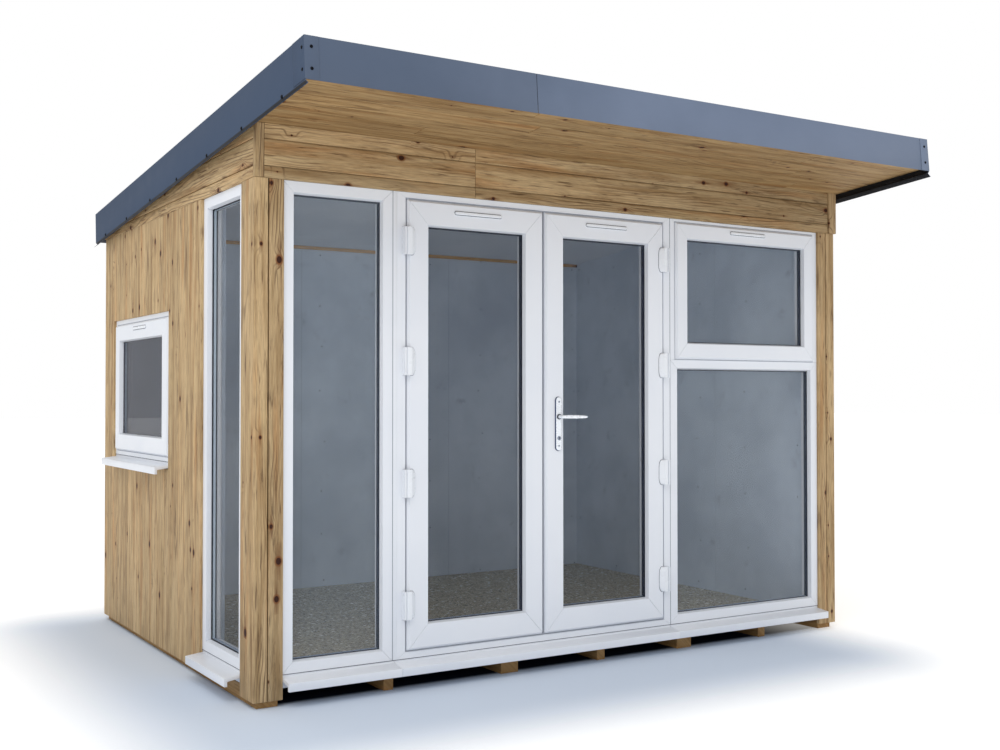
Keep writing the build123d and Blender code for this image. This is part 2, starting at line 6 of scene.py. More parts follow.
import bmesh
import bpy
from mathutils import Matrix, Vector


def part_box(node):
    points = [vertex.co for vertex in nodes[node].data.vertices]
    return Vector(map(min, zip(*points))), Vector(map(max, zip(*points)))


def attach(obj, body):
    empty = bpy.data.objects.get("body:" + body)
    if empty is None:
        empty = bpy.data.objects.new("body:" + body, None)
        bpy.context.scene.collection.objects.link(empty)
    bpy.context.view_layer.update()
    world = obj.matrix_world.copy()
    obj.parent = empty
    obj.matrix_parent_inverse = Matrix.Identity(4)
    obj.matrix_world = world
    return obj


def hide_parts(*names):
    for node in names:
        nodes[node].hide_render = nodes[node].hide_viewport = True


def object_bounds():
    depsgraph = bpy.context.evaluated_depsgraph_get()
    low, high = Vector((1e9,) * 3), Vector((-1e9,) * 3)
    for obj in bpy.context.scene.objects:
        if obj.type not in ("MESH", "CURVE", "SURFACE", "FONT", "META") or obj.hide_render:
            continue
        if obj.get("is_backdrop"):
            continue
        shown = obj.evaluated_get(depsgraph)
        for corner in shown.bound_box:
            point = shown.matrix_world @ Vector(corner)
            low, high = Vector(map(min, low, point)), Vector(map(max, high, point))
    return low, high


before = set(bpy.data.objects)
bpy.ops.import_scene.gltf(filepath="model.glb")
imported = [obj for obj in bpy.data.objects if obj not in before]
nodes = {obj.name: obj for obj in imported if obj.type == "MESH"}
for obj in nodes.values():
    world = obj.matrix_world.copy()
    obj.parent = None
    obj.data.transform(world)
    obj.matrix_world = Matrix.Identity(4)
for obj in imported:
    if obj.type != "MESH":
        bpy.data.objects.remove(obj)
cad_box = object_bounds()
scene = bpy.context.scene

# Shared planes of the building, in metres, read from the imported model.
left_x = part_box("left_cladding")[0].x
right_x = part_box("right_cladding")[1].x
front_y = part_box("lintel_board")[0].y
frame_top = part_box("door_frame")[1].z
middle_x = (left_x + right_x) / 2

# Timber
board_thickness = 0.020
thinnest_board = 0.1  # as a share of a whole one
wall_cover = 0.1075
wall_gap = 0.0008
head_cover = 0.108
head_joint_x = 1.010
level_gap = 0.0006
cove_height = 0.009
cove_depth = 0.007
board_edge = 0.0012
level_edge = 0.0015
trim_face = 0.040
trim_gap = 0.001
trim_length = 0.30
right_trim_face = 0.054
right_trim_past = 0.012
right_trim_proud = 0.008
side_sill_height = 0.032

# Roof
slope = math.radians(4.85)
soffit_thickness = 0.016
soffit_cover = 0.100
soffit_gap = 0.0014
soffit_low, soffit_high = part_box("soffit_boards")
down_slope = Vector((0, math.cos(slope), -math.sin(slope)))
out_of_roof = Vector((0, math.sin(slope), math.cos(slope)))
soffit_start = Vector((middle_x, soffit_low.y, soffit_high.z - soffit_thickness * math.cos(slope)))
soffit_length = (soffit_high.y - soffit_thickness * math.sin(slope) - soffit_low.y) / math.cos(slope)
cap_screw = 0.0062
side_screw = 0.0080
first_side_screw = 0.217
side_screw_step = 0.427

# Frames
face = 0.045
transom = 0.040
frame_depth = 0.070
rebate_depth = 0.060
bead = 0.008
bevel_width = 0.006
bevel_depth = 0.020
glass_front = 0.022
glass_depth = 0.024
glass_groove = 0.010
glass_clearance = 0.0002
pane_thickness = 0.004
spacer_show = 0.0045
sealant_front = 0.0015
sealant_back = 0.003
edge_bevel = 0.009
edge_bevel_depth = 0.012
sharp_angle = math.radians(32)
mitre_gap = 0.00035
plastic_edge = 0.0012
door_frame_depth = 0.073
door_stile, door_threshold, door_head = 0.039, 0.028, 0.022
leaf_stile, leaf_rail = 0.096, 0.104
opener_stile, opener_rail = 0.068, 0.076
side_stile, side_rail = 0.080, 0.084
sash_depth = 0.072
sash_gap = 0.004
gasket_thickness = 0.003
seal_stand = 0.0007
seal_height = 0.0022
apron_height = 0.027
apron_thickness = 0.003
post_reveal_height = 2.0

# Vents, hinges and handle
vent_length = 0.245
vent_height = 0.022
vent_depth = 0.004
hinge_half = 0.059
hinge_heights = (0.349, 0.861, 1.375, 1.884)
pin_inset = 0.015
pin_stand_off = 0.0095
knuckle_radius = 0.0075
bore_radius = 0.0079
cover_radius = 0.0094
cover_start = 0.0135
cover_reach = 0.036
cover_end_reach = 0.020
cover_end_height = 0.035
shadow_line_lip = 0.0016
plate_screw_inset = 0.022
cylinder_height = 0.057

# Studio
surround_light = 0.75
key_power = 190.0
# Boxes round which the floor's painted shadow lies, and under which it is painted near-black.
painted_shadow_middle = (-0.36, -0.06)
painted_shadow_half = (1.42, 1.28)
under_shadow_middle = (0.01, 0.26)
under_shadow_half = (1.57, 1.10)
floor_reach = 60.0

ACROSS = Vector((1, 0, 0))
BACK = Vector((0, 1, 0))
UP = Vector((0, 0, 1))


# ---- materials

def srgb(red, green, blue):
    """A colour given in the usual 0 to 255 values, as the linear colour that shaders take."""
    values = []
    for channel in (red, green, blue):
        value = channel / 255
        values.append(value / 12.92 if value <= 0.04045 else ((value + 0.055) / 1.055) ** 2.4)
    return (*values, 1.0)


class Look:
    """A material's node tree, with short ways to add what the materials below are made of."""

    def __init__(self, name, roughness=0.5):
        self.material = bpy.data.materials.new(name)
        self.material.use_nodes = True
        self.tree = self.material.node_tree
        self.shader = self.tree.nodes["Principled BSDF"]
        self.set("Roughness", roughness)

    def feed(self, socket, value):
        """Links an output into a socket, or sets the socket to a number or colour."""
        if isinstance(value, bpy.types.NodeSocket):
            self.tree.links.new(value, socket)
        else:
            socket.default_value = value

    def add(self, kind, inputs=None, **settings):
        """Adds a node, sets it up, feeds its inputs, and gives back its outputs."""
        node = self.tree.nodes.new("ShaderNode" + kind)
        for name, value in settings.items():
            setattr(node, name, value)
        for name, value in (inputs or {}).items():
            self.feed(node.inputs[name], value)
        return node.outputs

    def set(self, name, value):
        """Gives one of the shader's own sockets an output, a number or a colour."""
        self.feed(self.shader.inputs[name], value)

    def colour(self, value):
        self.set("Base Color", value)

    def roughness(self, value):
        self.set("Roughness", value)

    def bump(self, height, strength, distance):
        inputs = {"Height": height, "Strength": strength, "Distance": distance}
        self.set("Normal", self.add("Bump", inputs)[0])

    def math(self, operation, first, second=0.5, third=0.5):
        return self.add("Math", {0: first, 1: second, 2: third}, operation=operation)[0]

    def times(self, first, second):
        return self.math("MULTIPLY", first, second)

    def span(self, value, low, high, new_low=0.0, new_high=1.0):
        """Value carried smoothly from one range to another and held at its ends."""
        limits = {"Value": value, "From Min": low, "From Max": high, "To Min": new_low, "To Max": new_high}
        return self.add("MapRange", limits, interpolation_type="SMOOTHSTEP")[0]

    def mix(self, amount, first, second, blend="MIX"):
        inputs = {"Factor": amount, 6: first, 7: second}
        return self.add("Mix", inputs, data_type="RGBA", blend_type=blend)[2]

    def grey(self, value):
        """A grey colour from a number."""
        return self.add("CombineColor", {0: value, 1: value, 2: value})[0]

    def parts(self, value, kind="SeparateXYZ"):
        """The three numbers that a vector is made of."""
        return self.add(kind, {0: value})

    def object_point(self):
        return self.add("TexCoord")["Object"]

    def stretch(self, point, x, y, z):
        return self.add("VectorMath", {0: point, 1: (x, y, z)}, operation="MULTIPLY")[0]

    def noise(self, point, scale=1.0, detail=3.0, roughness=0.5):
        inputs = {"Vector": point, "Scale": scale, "Detail": detail, "Roughness": roughness}
        return self.add("TexNoise", inputs)["Fac"]

    def cells(self, point, scale, randomness=1.0, **settings):
        """The outputs of a cell pattern, and three random numbers for each cell."""
        inputs = {"Vector": point, "Scale": scale, "Randomness": randomness}
        pattern = self.add("TexVoronoi", inputs, **settings)
        return pattern, self.parts(pattern["Color"], "SeparateColor")


def knots(look, grain, share, scale):
    """Scattered knots as four shader values: dark heart, rim, wide halo, and a tail along the grain."""
    spread = look.stretch(grain, 6.6, 8.6, 1.0)
    cell, chance = look.cells(spread, 1.0, 0.85, voronoi_dimensions="2D")
    away = cell["Distance"]
    chosen = look.math("LESS_THAN", chance[0], share)
    size = look.span(chance[1], 0.0, 1.0, 0.024 * scale, 0.095 * scale)
    gap = look.add("VectorMath", {0: spread, 1: cell["Position"]}, operation="SUBTRACT")[0]
    ahead, aside = [look.math("ABSOLUTE", part) for part in look.parts(gap)[:2]]
    narrow = look.span(aside, look.times(size, 1.3), look.times(size, 0.2))
    short = look.span(ahead, look.times(size, 7.0), size)
    heart = look.span(away, size, look.times(size, 0.80))
    rim = look.span(away, look.times(size, 1.7), size)
    halo = look.span(away, 0.36, 0.02)
    return [look.times(shape, chosen) for shape in (heart, rim, halo, look.times(narrow, short))]


def wood(name, light, middle, dark, knot_share=0.30, contrast=1.0, knot=1.0, tone_spread=0.10, painted_light_fade=0.0):
    """Softwood drawn along each board's own grain map: streaks, growth rings, and knots that turn the rings.

    Its fade paints light and shade across the pod: paler towards the left and deeper towards the right.
    """
    look = Look(name)
    grain = look.add("UVMap", uv_map="grain")[0]
    tone = look.add("Attribute", attribute_name="tone")["Fac"]

    def noise(along, across, detail=3.0, roughness=0.5):
        return look.noise(look.stretch(grain, along, across, 1.0), 1.0, detail, roughness)

    heart, rim, halo, tail = knots(look, grain, knot_share, knot)
    from_middle = look.math("ADD", look.parts(grain)[1], -0.037)
    offset = look.math("MULTIPLY_ADD", noise(1.9, 7.0, 2.0), 0.075, from_middle)
    pith = look.span(noise(0.70, 0.0, 1.0), 0.30, 0.70, 0.004, 0.060)
    squares = look.math("ADD", look.math("POWER", offset, 2.0), look.math("POWER", pith, 2.0))
    radius = look.math("ADD", look.math("SQRT", squares), look.times(halo, 0.016))
    ring = look.span(look.math("SINE", look.times(radius, 560.0)), 0.1, 1.0)
    ring_depth = look.span(noise(2.1, 11.0), 0.42, 0.72, 0.03, 0.40 * contrast)

    broad = look.span(noise(1.5, 30.0, 5.0, 0.65), 0.38, 0.66)
    rosy = look.span(noise(1.2, 16.0, 4.0, 0.6), 0.52, 0.70)
    sappy = look.span(noise(1.7, 22.0, 4.0, 0.6), 0.54, 0.72)
    stain = look.span(noise(3.4, 24.0, 6.0, 0.7), 0.55, 0.74)
    streak = look.span(noise(6.5, 95.0), 0.58, 0.72)
    fine = noise(15.0, 240.0, 3.0, 0.6)

    colour = look.mix(broad, light, middle)
    colour = look.mix(look.times(rosy, 0.75), colour, (0.96, 0.78, 0.64, 1.0), "MULTIPLY")
    colour = look.mix(look.times(sappy, 0.60), colour, (1.04, 1.10, 1.08, 1.0), "MULTIPLY")
    colour = look.mix(look.times(ring, ring_depth), colour, dark)
    colour = look.mix(look.times(stain, 0.54 * contrast), colour, dark)
    colour = look.mix(look.times(streak, 0.50 * contrast), colour, dark)
    board_tone = look.span(tone, 0.0, 1.0, 1 - tone_spread, 1 + tone_spread * 0.8)
    shade = look.times(look.span(fine, 0.30, 0.72, 0.80, 1.11), board_tone)
    # Painted light and shade: paler at the pod's left, deeper at its right.
    if painted_light_fade:
        place = look.parts(look.object_point())
        shade = look.times(shade, look.span(place[0], left_x, right_x, 1 + painted_light_fade, 1 - painted_light_fade))
    colour = look.mix(1.0, colour, look.grey(shade), "MULTIPLY")
    colour = look.mix(look.times(tail, 0.55), colour, srgb(104, 66, 38))
    colour = look.mix(look.times(rim, 0.80), colour, srgb(116, 66, 32))
    look.colour(look.mix(heart, colour, srgb(54, 27, 16)))
    look.roughness(look.span(fine, 0.2, 0.8, 0.58, 0.74))
    look.set("Specular IOR Level", 0.22)
    relief = look.math("ADD", look.times(fine, 0.6), look.times(ring, 0.4))
    look.bump(look.math("SUBTRACT", relief, heart), 0.35, 0.0012)
    return look.material


def plastic(name, colour, shade, roughness=0.34):
    """Extruded window plastic: almost even white, with a faint grain, soft mottling and a satin gloss."""
    look = Look(name, roughness)
    point = look.object_point()
    mottle = look.noise(point, 3.0)
    look.colour(look.mix(look.span(mottle, 0.35, 0.75, 0.0, 0.55), colour, shade))
    look.roughness(look.span(look.noise(point, 14.0), 0.3, 0.7, roughness - 0.05, roughness + 0.07))
    look.bump(look.noise(point, 260.0, 2.0), 0.06, 0.0004)
    return look.material


def painted_metal(name, colour, shade, roughness=0.42, gloss=0.30):
    """Coated sheet: powdery, a little cloudy, with painted light fading from its shade at the pod's left to
    its colour at the right.
    """
    look = Look(name, roughness)
    point = look.object_point()
    # Painted light: the pod's x carries the colour from the shade towards the main colour; the noise is real
    # clouding.
    side = look.math("MULTIPLY_ADD", look.parts(point)[0], 0.30, look.noise(point, 1.7, 4.0))
    look.colour(look.mix(look.span(side, -0.1, 1.0), shade, colour))
    look.roughness(look.span(look.noise(point, 9.0, 4.0), 0.3, 0.7, roughness - 0.03, roughness + 0.04))
    look.set("Specular IOR Level", gloss)
    look.bump(look.noise(point, 420.0, 2.0), 0.06, 0.0004)
    return look.material


def bare_metal(name, colour, roughness, metal=0.85):
    """Satin metal with fine brushing and faint handling marks."""
    look = Look(name, roughness)
    point = look.object_point()
    brush = look.noise(look.stretch(point, 30.0, 30.0, 90.0), detail=2.0)
    smear = look.noise(point, 30.0, 4.0)
    dull = (colour[0] * 0.82, colour[1] * 0.82, colour[2] * 0.84, 1.0)
    look.colour(look.mix(look.span(smear, 0.4, 0.8, 0.0, 0.4), colour, dull))
    look.set("Metallic", metal)
    look.roughness(look.span(brush, 0.2, 0.8, roughness - 0.04, roughness + 0.06))
    look.bump(smear, 0.01, 0.0002)
    return look.material


def board_paint(name, colour, shade, stain):
    """Lining board finished in a thin matt paint: cloudy, with a roller's stipple and a few darker stains."""
    look = Look(name, 0.8)
    point = look.object_point()
    cloud = look.noise(point, 1.6, 5.0, 0.6)
    spots = look.noise(point, 9.0, 4.0, 0.65)
    base = look.mix(look.span(cloud, 0.32, 0.68), colour, shade)
    look.colour(look.mix(look.span(spots, 0.60, 0.80, 0.0, 0.55), base, stain))
    look.roughness(look.span(cloud, 0.3, 0.7, 0.80, 0.92))
    look.set("Specular IOR Level", 0.2)
    look.bump(look.noise(point, 320.0, 2.0), 0.05, 0.0003)
    return look.material


def stone_vinyl(name):
    """Sheet vinyl printed as fine chippings in greys and browns, with sparse larger pale ones."""
    look = Look(name, 0.55)
    point = look.object_point()
    chip, chance = look.cells(point, 115.0)
    pale, brown, deep = srgb(242, 233, 208), srgb(177, 162, 128), srgb(112, 100, 74)
    colour = look.mix(look.span(chance[0], 0.0, 1.0, 0.0, 0.35), brown, pale)
    colour = look.mix(look.math("GREATER_THAN", chance[0], 0.90), colour, pale)
    colour = look.mix(look.math("GREATER_THAN", chance[1], 0.76), colour, deep)
    colour = look.mix(look.span(look.noise(point, 7.0, 5.0, 0.7), 0.38, 0.62, 0.0, 0.35), colour, brown)
    fleck, fleck_chance = look.cells(point, 46.0)
    shown = look.math("GREATER_THAN", fleck_chance[0], 0.88)
    core = look.math("LESS_THAN", fleck["Distance"], 0.36)
    look.colour(look.mix(look.times(shown, core), colour, srgb(250, 248, 238)))
    look.roughness(look.span(chance[2], 0.0, 1.0, 0.45, 0.65))
    look.bump(chip["Distance"], 0.2, 0.0006)
    return look.material


def rubber(name, colour, worn, roughness=0.6):
    """Rubber, bitumen felt or building paper: dark and matt, with a dusty bloom."""
    look = Look(name, roughness)
    point = look.object_point()
    dust = look.noise(point, 5.0, 6.0, 0.7)
    look.colour(look.mix(look.span(dust, 0.45, 0.75), colour, worn))
    look.roughness(look.span(dust, 0.3, 0.7, roughness - 0.08, roughness + 0.12))
    look.bump(look.noise(point, 500.0, 2.0), 0.3, 0.0008)
    return look.material


def tinted_glass(name, tint, hazed, cover):
    """Window glass with the faint cool tint and haze of a sealed unit. The cover says how much it hides."""
    look = Look(name, 0.04)
    point = look.object_point()
    look.colour(look.mix(look.span(look.noise(point, 1.1), 0.3, 0.7), tint, hazed))
    look.roughness(look.span(look.noise(point, 6.0, 4.0), 0.3, 0.7, 0.01, 0.03))
    look.set("Alpha", cover)
    look.set("IOR", 1.5)
    look.material.blend_method = "BLEND"
    return look.material


head_colours = (srgb(190, 165, 126), srgb(160, 131, 92), srgb(82, 54, 32))
redwood = wood("redwood_boards", srgb(203, 176, 134), srgb(168, 138, 98), srgb(84, 54, 34),
               0.40, contrast=1.55, tone_spread=0.08)
# The front and soffit boards carry painted light: paler at the pod's left, deeper at its right.
front_wood = wood("front_boards", *head_colours, 0.34, contrast=1.5, painted_light_fade=0.24)
lintel_wood = wood("lintel_board_wood", *head_colours, 0.34, contrast=1.5)
post_wood = wood("post_boards", srgb(194, 167, 127), srgb(158, 130, 92), srgb(72, 46, 30),
                 0.42, contrast=1.5, knot=1.25)
soffit_wood = wood("soffit_boards_wood", srgb(176, 146, 102), srgb(145, 113, 72), srgb(78, 50, 28),
                   contrast=1.4, painted_light_fade=0.03)
strip_wood = wood("ceiling_strip_wood", srgb(232, 184, 112), srgb(214, 162, 90), srgb(150, 100, 50), 0.1)
bearer_wood = wood("bearer_timber", srgb(176, 140, 92), srgb(150, 114, 70), srgb(104, 72, 42), 0.1)
white_frame = plastic("white_frame_plastic", srgb(230, 234, 241), srgb(223, 228, 237))
white_trim = plastic("white_trim_plastic", srgb(234, 238, 244), srgb(227, 232, 240), 0.28)
gasket_grey = rubber("gasket_rubber", srgb(176, 181, 192), srgb(190, 195, 205))
sill_seal = rubber("sill_seal", srgb(70, 76, 90), srgb(90, 96, 110))
joint_seal = rubber("frame_joint_seal", srgb(128, 134, 147), srgb(142, 148, 160))
# Grey for painted shade: the vents' grooves and the shadow line round the hinge covers.
painted_shade_grey = rubber("vent_groove", srgb(88, 93, 106), srgb(102, 107, 120))
# Painted light: a paler spacer for the side lights, where the bar sits in shade between the panes.
spacer_painted_light = painted_metal("spacer_bar_painted_light", srgb(206, 220, 232), srgb(190, 206, 220), 0.4)
# Painted light: a paler finish for the spacer faces that look up.
spacer_top_painted_light = painted_metal("spacer_bar_top_painted_light", srgb(172, 186, 204), srgb(158, 172, 192), 0.4)
# Near-black navy for the handle bases, whose rims round the plates are painted shade.
plate_rim_shade = rubber("plate_rim_painted_shade", srgb(30, 38, 58), srgb(48, 56, 76))
spacer_dark = rubber("spacer_bar", srgb(24, 30, 48), srgb(40, 48, 68), 0.4)
# Two copies of one slate: the lighter for faces that look forward, the darker one painted shade for the
# sides.
slate_metal = painted_metal("slate_metal_trim", srgb(113, 126, 149), srgb(79, 92, 113))
slate_painted_shade = painted_metal("slate_metal_painted_shade", srgb(77, 90, 111), srgb(71, 84, 105), 0.65, gloss=0.04)
# Near-black painted shade for the trims' inward, downward and end faces.
back_painted_shade = painted_metal("trim_back_painted_shade", srgb(24, 26, 31), srgb(34, 36, 42), 0.6)
screw_metal = bare_metal("screw_heads", srgb(20, 22, 28), 0.5)
handle_metal = bare_metal("handle_satin_metal", srgb(244, 249, 255), 0.26, metal=0.4)
# A darker blue metal for the plates' sides: painted shade.
handle_flank_shade = bare_metal("handle_plate_flanks_painted_shade", srgb(98, 112, 146), 0.34, metal=0.5)
fitting_metal = bare_metal("handle_fittings", srgb(142, 150, 166), 0.36, metal=0.6)
lining_paint = board_paint("lining_paint", srgb(222, 233, 246), srgb(196, 207, 222), srgb(160, 162, 178))
ceiling_paint = board_paint("ceiling_paint", srgb(232, 238, 247), srgb(218, 225, 236), srgb(192, 199, 211))
seam_paint = board_paint("lining_seam_filler", srgb(200, 211, 224), srgb(178, 188, 203), srgb(148, 151, 166))
vinyl = stone_vinyl("floor_vinyl")
roof_rubber = rubber("roof_membrane_rubber", srgb(58, 61, 66), srgb(74, 77, 82), 0.75)
breather_paper = rubber("wall_core_paper", srgb(20, 20, 22), srgb(34, 34, 36), 0.85)
clear_glass = tinted_glass("clear_glass", srgb(170, 186, 202), srgb(150, 166, 184), 0.05)
# Darker glass for the doors, the side light and the side window: painted shade for the dimmer room seen
# through them.
door_glass = tinted_glass("door_glass", srgb(86, 96, 110), srgb(70, 80, 94), 0.08)
opener_glass = tinted_glass("opener_glass_tint", srgb(155, 170, 186), srgb(136, 151, 169), 0.05)
side_glass_painted_shade = tinted_glass("side_window_glass_painted_shade", srgb(44, 50, 72), srgb(34, 40, 60), 0.34)


# ---- mesh tools

def rectangle(left, bottom, right, top):
    """The corners of a flat rectangle, in order round it."""
    return [(left, bottom), (right, bottom), (right, top), (left, top)]


def prism(mesh, corners, depth):
    """Adds a closed solid: a flat outline and its copy moved by depth."""
    front = [mesh.verts.new(corner) for corner in corners]
    back = [mesh.verts.new(Vector(corner) + depth) for corner in corners]
    mesh.faces.new(front)
    mesh.faces.new(list(reversed(back)))
    for index, vertex in enumerate(front):
        after = (index + 1) % len(front)
        mesh.faces.new((vertex, back[index], back[after], front[after]))


def extrude(mesh, outline, axis, start, reach):
    """Adds a closed solid: an outline across an axis (0 X, 1 Y, 2 Z), carried along it from start."""
    depth = Vector()
    depth[axis] = reach
    corners = []
    for pair in outline:
        corner = list(pair)
        corner.insert(axis, start)
        corners.append(Vector(corner))
    prism(mesh, corners, depth)


def loft(mesh, sections):
    """Adds a closed solid through loops of points that all have the same count."""
    loops = [[mesh.verts.new(point) for point in section] for section in sections]
    for near, far in zip(loops, loops[1:]):
        for index in range(len(near)):
            after = (index + 1) % len(near)
            mesh.faces.new((near[index], near[after], far[after], far[index]))
    mesh.faces.new(list(reversed(loops[0])))
    mesh.faces.new(loops[-1])


def turned(mesh, centre, axis, profile, steps=24):
    """Adds a solid of revolution from (radius, height) points, heights running along the axis."""
    axis = Vector(axis).normalized()
    side = axis.orthogonal().normalized()
    other = axis.cross(side)
    sections = []
    for radius, height in profile:
        loop = []
        for step in range(steps):
            angle = 2 * math.pi * step / steps
            loop.append(centre + axis * height + (side * math.cos(angle) + other * math.sin(angle)) * radius)
        sections.append(loop)
    loft(mesh, sections)


def screw_head(mesh, centre, outward, radius):
    """Adds a low domed screw head with a dished middle."""
    profile = [(radius, 0.0), (radius, radius * 0.25), (radius * 0.75, radius * 0.45)]
    profile += [(radius * 0.40, radius * 0.50), (radius * 0.32, radius * 0.22), (radius * 0.1, radius * 0.2)]
    turned(mesh, centre, outward, profile, 14)


def cut_under_roof(mesh):
    """Cuts everything above the soffit's underside away, and closes the cut ends."""
    geometry = list(mesh.verts) + list(mesh.edges) + list(mesh.faces)
    cut = bmesh.ops.bisect_plane(
        mesh, geom=geometry, dist=1e-6, plane_co=soffit_start, plane_no=out_of_roof, clear_outer=True
    )
    edges = [item for item in cut["geom_cut"] if isinstance(item, bmesh.types.BMEdge)]
    bmesh.ops.holes_fill(mesh, edges=edges, sides=0)


def soften(thing, width, steps=2):
    """Rounds the edges of a mesh object and keeps its flat faces flat in the shading."""
    for polygon in thing.data.polygons:
        polygon.use_smooth = True
    bevel = thing.modifiers.new("edges", "BEVEL")
    bevel.width = width
    bevel.segments = steps
    bevel.limit_method = "ANGLE"
    bevel.angle_limit = sharp_angle
    bevel.harden_normals = True
    bevel.use_clamp_overlap = True
    graph = bpy.context.evaluated_depsgraph_get()
    rounded = bpy.data.meshes.new_from_object(thing.evaluated_get(graph))
    thing.modifiers.clear()
    thing.data = rounded


def islands(mesh):
    """The loose parts of a mesh, each as a list of its polygons' numbers."""
    parent = list(range(len(mesh.vertices)))

    def root(index):
        while parent[index] != index:
            parent[index] = parent[parent[index]]
            index = parent[index]
        return index

    for edge in mesh.edges:
        first, second = (root(vertex) for vertex in edge.vertices)
        parent[first] = second
    groups = {}
    for polygon in mesh.polygons:
        groups.setdefault(root(polygon.vertices[0]), []).append(polygon.index)
    return list(groups.values())


def map_grain(thing, along, seed):
    """Writes each loose board's own place on the grain: a map in metres, and one tone for the board."""
    mesh = thing.data
    chance = random.Random(seed)
    mesh.uv_layers.new(name="grain")
    mesh.attributes.new("tone", "FLOAT", "CORNER")
    layer = mesh.uv_layers["grain"]
    tones = mesh.attributes["tone"]
    around = Vector((1, 1, 1)) - Vector(along)
    for group in islands(mesh):
        points = [mesh.vertices[v].co for index in group for v in mesh.polygons[index].vertices]
        middle = sum(points, Vector()) / len(points)
        shift = Vector((chance.uniform(0, 60), chance.uniform(-0.055, 0.055)))
        tone = chance.random()
        for index in group:
            for corner in mesh.polygons[index].loop_indices:
                point = mesh.vertices[mesh.loops[corner].vertex_index].co - middle
                layer.data[corner].uv = (point.dot(along) + shift.x, point.dot(around) + shift.y)
                tones.data[corner].value = tone


def piece(name, mesh, look, edge=0.0, steps=2, grain=None, stands_for=None, body="pod"):
    """Turns a finished bmesh into an object that rides on a body and takes a material."""
    bmesh.ops.recalc_face_normals(mesh, faces=mesh.faces)
    data = bpy.data.meshes.new(name)
    mesh.to_mesh(data)
    mesh.free()
    thing = bpy.data.objects.new(name, data)
    scene.collection.objects.link(thing)
    if edge:
        soften(thing, edge, steps)
    if grain is not None:
        map_grain(thing, grain, name)
    thing.data.name = name
    thing.data.materials.clear()
    thing.data.materials.append(look)
    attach(thing, body)
    if stands_for:
        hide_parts(stands_for)
    return thing


def softened(node, look, edge, steps=2, grain=None):
    """A copy of a CAD node with its edges rounded and a grain map, in the node's place."""
    mesh = bmesh.new()
    mesh.from_mesh(nodes[node].data)
    bmesh.ops.remove_doubles(mesh, verts=mesh.verts, dist=1e-5)
    bmesh.ops.dissolve_limit(mesh, angle_limit=math.radians(1), verts=mesh.verts, edges=mesh.edges)
    return piece(node + "_finish", mesh, look, edge, steps, grain, node)


def refinish(thing, look, chosen):
    """Gives the faces of a piece that pass a test a finish of their own."""
    thing.data.materials.append(look)
    number = len(thing.data.materials) - 1
    for polygon in thing.data.polygons:
        if chosen(polygon):
            polygon.material_index = number


def repaint(look, *names):
    """Gives CAD nodes that keep their shape a detailed material."""
    for name in names:
        materials = nodes[name].data.materials
        materials.clear()
        materials.append(look)


# ---- boards

def spans(start, end, cover):
    """Starts and ends of boards laid side by side from start, the last one cut to fit."""
    count = max(1, math.ceil((end - start) / cover - thinnest_board))
    edges = [start + index * cover for index in range(count)] + [end]
    return list(zip(edges, edges[1:]))


def board_outlines(start, end, bottom, top, opening):
    """Outlines of one upright board, notched or split where it meets an opening."""
    if opening is None or end <= opening[0] or start >= opening[1]:
        return [rectangle(start, bottom, end, top)]
    hole_start, hole_end, hole_bottom, hole_top = opening
    if start >= hole_start and end <= hole_end:
        return [rectangle(start, bottom, end, hole_bottom), rectangle(start, hole_top, end, top)]
    if start < hole_start:
        notch = [(end, hole_bottom), (hole_start, hole_bottom), (hole_start, hole_top), (end, hole_top)]
        return [[(start, bottom), (end, bottom), *notch, (end, top), (start, top)]]
    notch = [(start, hole_top), (hole_end, hole_top), (hole_end, hole_bottom), (start, hole_bottom)]
    return [[(start, bottom), (end, bottom), (end, top), (start, top), *notch]]


def wall_boards(name, node, axis, outer, inward, opening=None):
    """Upright boards over a wall that lies across an axis, cut to fit its far end and the roof."""
    low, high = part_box(node)
    along = 1 - axis
    mesh = bmesh.new()
    for start, end in spans(low[along], high[along], wall_cover):
        for outline in board_outlines(start + wall_gap / 2, end - wall_gap / 2, low.z, high.z, opening):
            extrude(mesh, outline, axis, outer, inward * board_thickness)
    cut_under_roof(mesh)
    piece(name, mesh, redwood, board_edge, grain=UP, stands_for=node)


def cove_section(bottom, top, outer, inward):
    """Section of a level board, in depth and height: its top edge falls away as a cove."""
    points = [(0.0, bottom), (0.0, top - cove_height), (cove_depth * 0.35, top - cove_height * 0.45)]
    points += [(cove_depth, top), (board_thickness, top), (board_thickness, bottom)]
    return [(outer + inward * depth, height) for depth, height in points]


def gable_boards():
    """Level boards over both sides above the upright ones, cut to the roof's slope."""
    low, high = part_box("gable_boards")
    lintel_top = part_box("lintel_board")[1].z
    start = low.y + board_thickness
    mesh = bmesh.new()
    for outer, inward in ((left_x, 1), (right_x, -1)):
        for bottom, top in [(low.z, lintel_top)] + spans(lintel_top, high.z + 0.01, head_cover):
            extrude(mesh, cove_section(bottom + level_gap, top, outer, inward), 1, start, high.y - start)
    cut_under_roof(mesh)
    piece("gable_planks", mesh, redwood, level_edge, grain=BACK, stands_for="gable_boards")


def head_boards():
    """Level boards over the glazed front, with one butt joint running through them all."""
    low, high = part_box("head_boards")
    lintel_low, lintel_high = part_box("lintel_board")
    joint = left_x + head_joint_x
    right_start = right_x + right_trim_past - right_trim_face
    ends = ((left_x + trim_face, joint - level_gap), (joint + level_gap, right_start - trim_gap))
    sets = {
        "head_planks": ("head_boards", front_wood, spans(low.z, high.z + 0.01, head_cover)),
        "lintel_planks": ("lintel_board", lintel_wood, [(lintel_low.z, lintel_high.z)]),
    }
    for name, (node, look, rows) in sets.items():
        mesh = bmesh.new()
        for bottom, top in rows:
            for start, end in ends:
                extrude(mesh, cove_section(bottom + level_gap, top, front_y, 1), 0, start, end - start)
        cut_under_roof(mesh)
        piece(name, mesh, look, level_edge, grain=ACROSS, stands_for=node)


